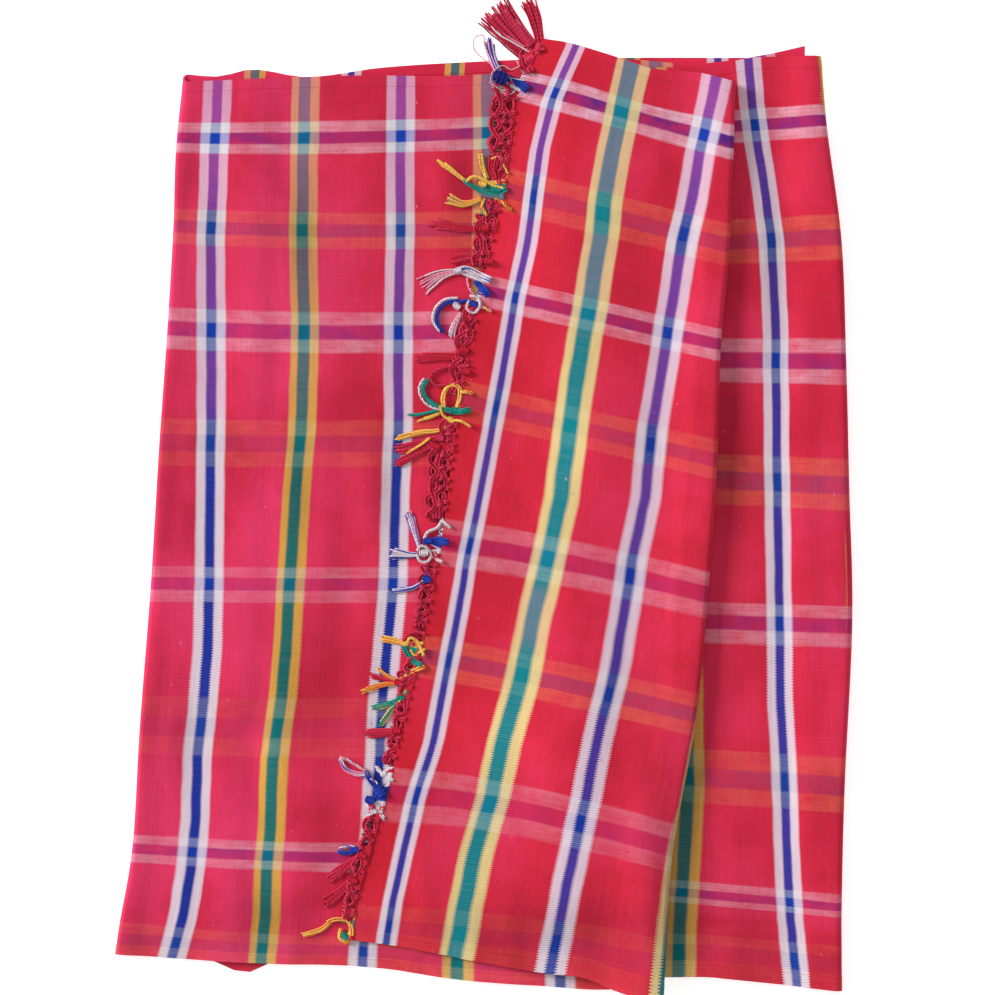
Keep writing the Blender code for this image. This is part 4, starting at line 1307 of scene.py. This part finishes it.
def lay_knot(colour, x, y, half, turn_deg):
    """A pulled-up overhand knot: a few turns of yarn wound round the bundle."""
    ahead, across = ways(math.radians(turn_deg))
    high = 0.62 * half
    base = lie_height(x, y) + high + 0.3
    angle = np.linspace(0, 2 * math.pi, 22)
    for j in range(-3, 4):
        wide = 0.85 * half * (1.0 - 0.035 * j**2)
        lean = (-0.2 if j % 2 else 0.35) * half
        flat = (x, y) + ahead * (j * half * 0.27) + across * (np.cos(angle) * wide)[:, None]
        flat = flat + ahead * (np.sin(angle) * lean)[:, None]
        lay_yarn(colour, flat, base + np.sin(angle) * high, YARN_HALF * 1.15)
    core = np.linspace(-1, 1, 8)
    for off in (-0.45, 0.0, 0.45):
        flat = (x, y) + ahead * (core * half * 0.9)[:, None] + across * off * half
        lay_yarn(colour, flat, base + 0 * core, half * 0.30)


def lay_roots(x, y):
    """Warp yarns from the cloth's edge, drawn together into a knot."""
    v = EDGE_V[np.argmin((EDGE_X - x) ** 2 + (EDGE_Y - y) ** 2)]
    knot_z = lie_height(x, y) + 1.4
    t = np.linspace(0, 1, 9)[:, None]
    for j in range(ROOTS):
        lean = 2 * (j + 0.5) / ROOTS - 1
        at = float(np.clip(v + lean * ROOT_SPREAD, 1.0, LOOM_WIDTH - 1.0))
        sx, sy, sz = along_edge(at, EDGE_X, EDGE_Y, EDGE_Z)
        start = np.array([sx + 1.5, sy, sz + 0.2 * (j % 2)])
        out = np.array([sx - 1.6, sy + 0.2, sz])
        end = np.array([x, y - lean * 1.6, knot_z + 0.5 * (j % 2)])
        path = start * (1 - t) ** 2 + 2 * out * t * (1 - t) + end * t**2
        lay_yarn(warp_colour(at), path[:, :2], path[:, 2])


def net_reach(v, v0, v1, reach_0, reach_1):
    """How far a netted stretch stands out from the cloth's edge at v."""
    return reach_0 + (reach_1 - reach_0) * ((v - v0) / (v1 - v0))


def lay_stubs():
    """Short warp ends along the whole fringed end, lying deep under the cords."""
    t = np.linspace(0, 1, 7)
    for v in np.arange(2.0, LOOM_WIDTH - 2.0, STUB_PITCH):
        reach = 4.0
        for net in NETS:
            if net[0] <= v <= net[1]:
                reach = net_reach(v, *net[:4]) * (0.9 + 0.2 * CHANCE.random())
        sx, sy, sz = along_edge(v, EDGE_X, EDGE_Y, EDGE_Z)
        end = edge_out(v + 3.0 * CHANCE.normal(), reach)
        flat = np.outer(1 - t, (sx + 1.5, sy)) + np.outer(t, end)
        flat[:, 1] += 1.2 * CHANCE.normal() * np.sin(t * math.pi)
        colour = warp_colour(v)
        height = np.minimum(lie_under(flat, 0) + 0.5, sz)
        # Red warp ends are drawn in the darkest red: painted shade that darkens the holes of the net
        lay_yarn("wine" if colour == "red" else colour, flat, height, STUB_HALF)


def lay_net(v0, v1, reach_0, reach_1, rows):
    """Cords that wind along the cloth's edge and cross each other, tied to it by short cords."""
    at = np.arange(v0, v1 + 0.1, 2.0)
    reach = net_reach(at, v0, v1, reach_0, reach_1)
    for r in range(rows):
        middle = (r + 0.55) / rows
        turn = np.cumsum(2 * math.pi * 2.0 / (32.0 + 10.0 * soften(CHANCE.normal(size=len(at)), 4)))
        wander = np.cumsum(CHANCE.normal(size=len(at))) * 0.3
        # The darkest red among the net's yarns is painted shade among the cords
        for side, colours in enumerate(("rose red rose wine", "rose red wine red")):
            uneven = 1.0 + 0.6 * soften(CHANCE.normal(size=len(at)), 3)
            swing = 0.46 / rows * uneven * np.sin(turn + math.pi * side + 1.7 * r)
            out = np.clip(reach * (middle + swing) + wander, 0.6, None)
            places = [edge_out(v, o) for v, o in zip(at, out)]
            lay_cord(colours, 5, 2.1, 2.1, 0.4 + 1.0 * side + 0.4 * (r % 2), places[::2])
    ties = np.arange(v0 + 3, v1, TIE_PITCH)
    for v in ties + 2.0 * CHANCE.normal(size=len(ties)):
        far = net_reach(v, v0, v1, reach_0, reach_1) / rows * 0.8
        lean = 2.2 * CHANCE.normal()
        middle = edge_out(v + 0.6 * lean + CHANCE.normal(), far * 0.5)
        # The ties' darkest red yarn is painted shade as well
        lay_cord("rose red wine", 5, 1.9, 1.5, 0.6, (edge_out(v, -1.4), middle, edge_out(v + lean, far)))
        lay_bead("rose", *edge_out(v + lean, far + 0.5), 2.7)


def lay_bead(colour, x, y, half):
    """A small knot: a few turns of yarn pulled close."""
    base = lie_height(x, y)
    tilt = 3.0 * CHANCE.random()
    angle = np.linspace(0, 2 * math.pi, 12)
    height = base + 1.5 + (1 + np.sin(angle)) * half * 0.55
    for j in (-1, 0, 1):
        ahead, across = ways(tilt + 0.5 * j)
        lay_yarn(colour, (x, y) + ahead * 0.55 * j + across * (np.cos(angle) * half)[:, None], height)


def fringe_pieces():
    """The whole fringe, one piece for each colour of yarn."""
    lay_stubs()
    for net in NETS:
        lay_net(*net)
    for lay, table in ((lay_tail, TAILS), (lay_cord, CORDS)):
        for *kind, places in table:
            lay(*kind, np.array(places) + (0, ROW_MIDDLE))
    for colour, x, y, half, turn in KNOTS:
        lay_knot(colour, x, y + ROW_MIDDLE, half, turn)
        lay_roots(x, y + ROW_MIDDLE)
    return [yarns.piece("fringe_" + colour, colour) for colour, yarns in sorted(YARNS.items())]


def studio():
    """Pale floor, soft lights and the camera, straight above."""
    scene = bpy.context.scene
    floor = bpy.data.meshes.new("floor")
    floor.from_pydata([(-3, -3, 0), (3, -3, 0), (3, 3, 0), (-3, 3, 0)], [], [(0, 1, 2, 3)])
    ground = new_object("floor", floor)
    ground.location.z = -0.0004
    look = Look("pale_floor")
    look.feed(look.shader, {
        "Base Color": (0.9, 0.9, 0.9),
        "Roughness": 0.9,
        "Emission Color": (1.0, 1.0, 1.0),
        "Emission Strength": 0.55,
    })
    floor.materials.append(look.material)
    scene.world = bpy.data.worlds.new("soft_room")
    scene.world.use_nodes = True
    background = scene.world.node_tree.nodes["Background"]
    background.inputs["Color"].default_value = (1.0, 1.0, 1.0, 1.0)
    background.inputs["Strength"].default_value = 0.40
    for name, place, strength, spread in (
        ("key_light", (-2.3, 1.1, 1.05), 4.0, 22.0),
        ("fill_light", (1.2, -0.8, 2.4), 0.5, 60.0),
    ):
        lamp = bpy.data.lights.new(name, "SUN")
        lamp.energy = strength
        lamp.angle = math.radians(spread)
        light = new_object(name, lamp)
        light.location = place
        light.rotation_euler = Vector(place).to_track_quat("Z", "Y").to_euler()
    scene.view_settings.view_transform = "Standard"
    scene.view_settings.look = "None"
    lens = bpy.data.cameras.new("camera")
    lens.lens = LENS
    lens.sensor_width = SENSOR
    lens.sensor_fit = "AUTO"
    camera = new_object("camera", lens)
    camera.location = (0.013, 0.0, 0.006 + PICTURE_SIDE * LENS / SENSOR)
    camera.rotation_euler = (0.0, 0.0, 0.0)
    scene.camera = camera


studio()
cloth = plaid_cloth()
cloth.data.materials.append(plaid_material())
fringe = fringe_pieces()
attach(cloth, "root")
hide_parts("cloth")
for piece in fringe:
    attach(piece, "root")
    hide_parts("fringe")
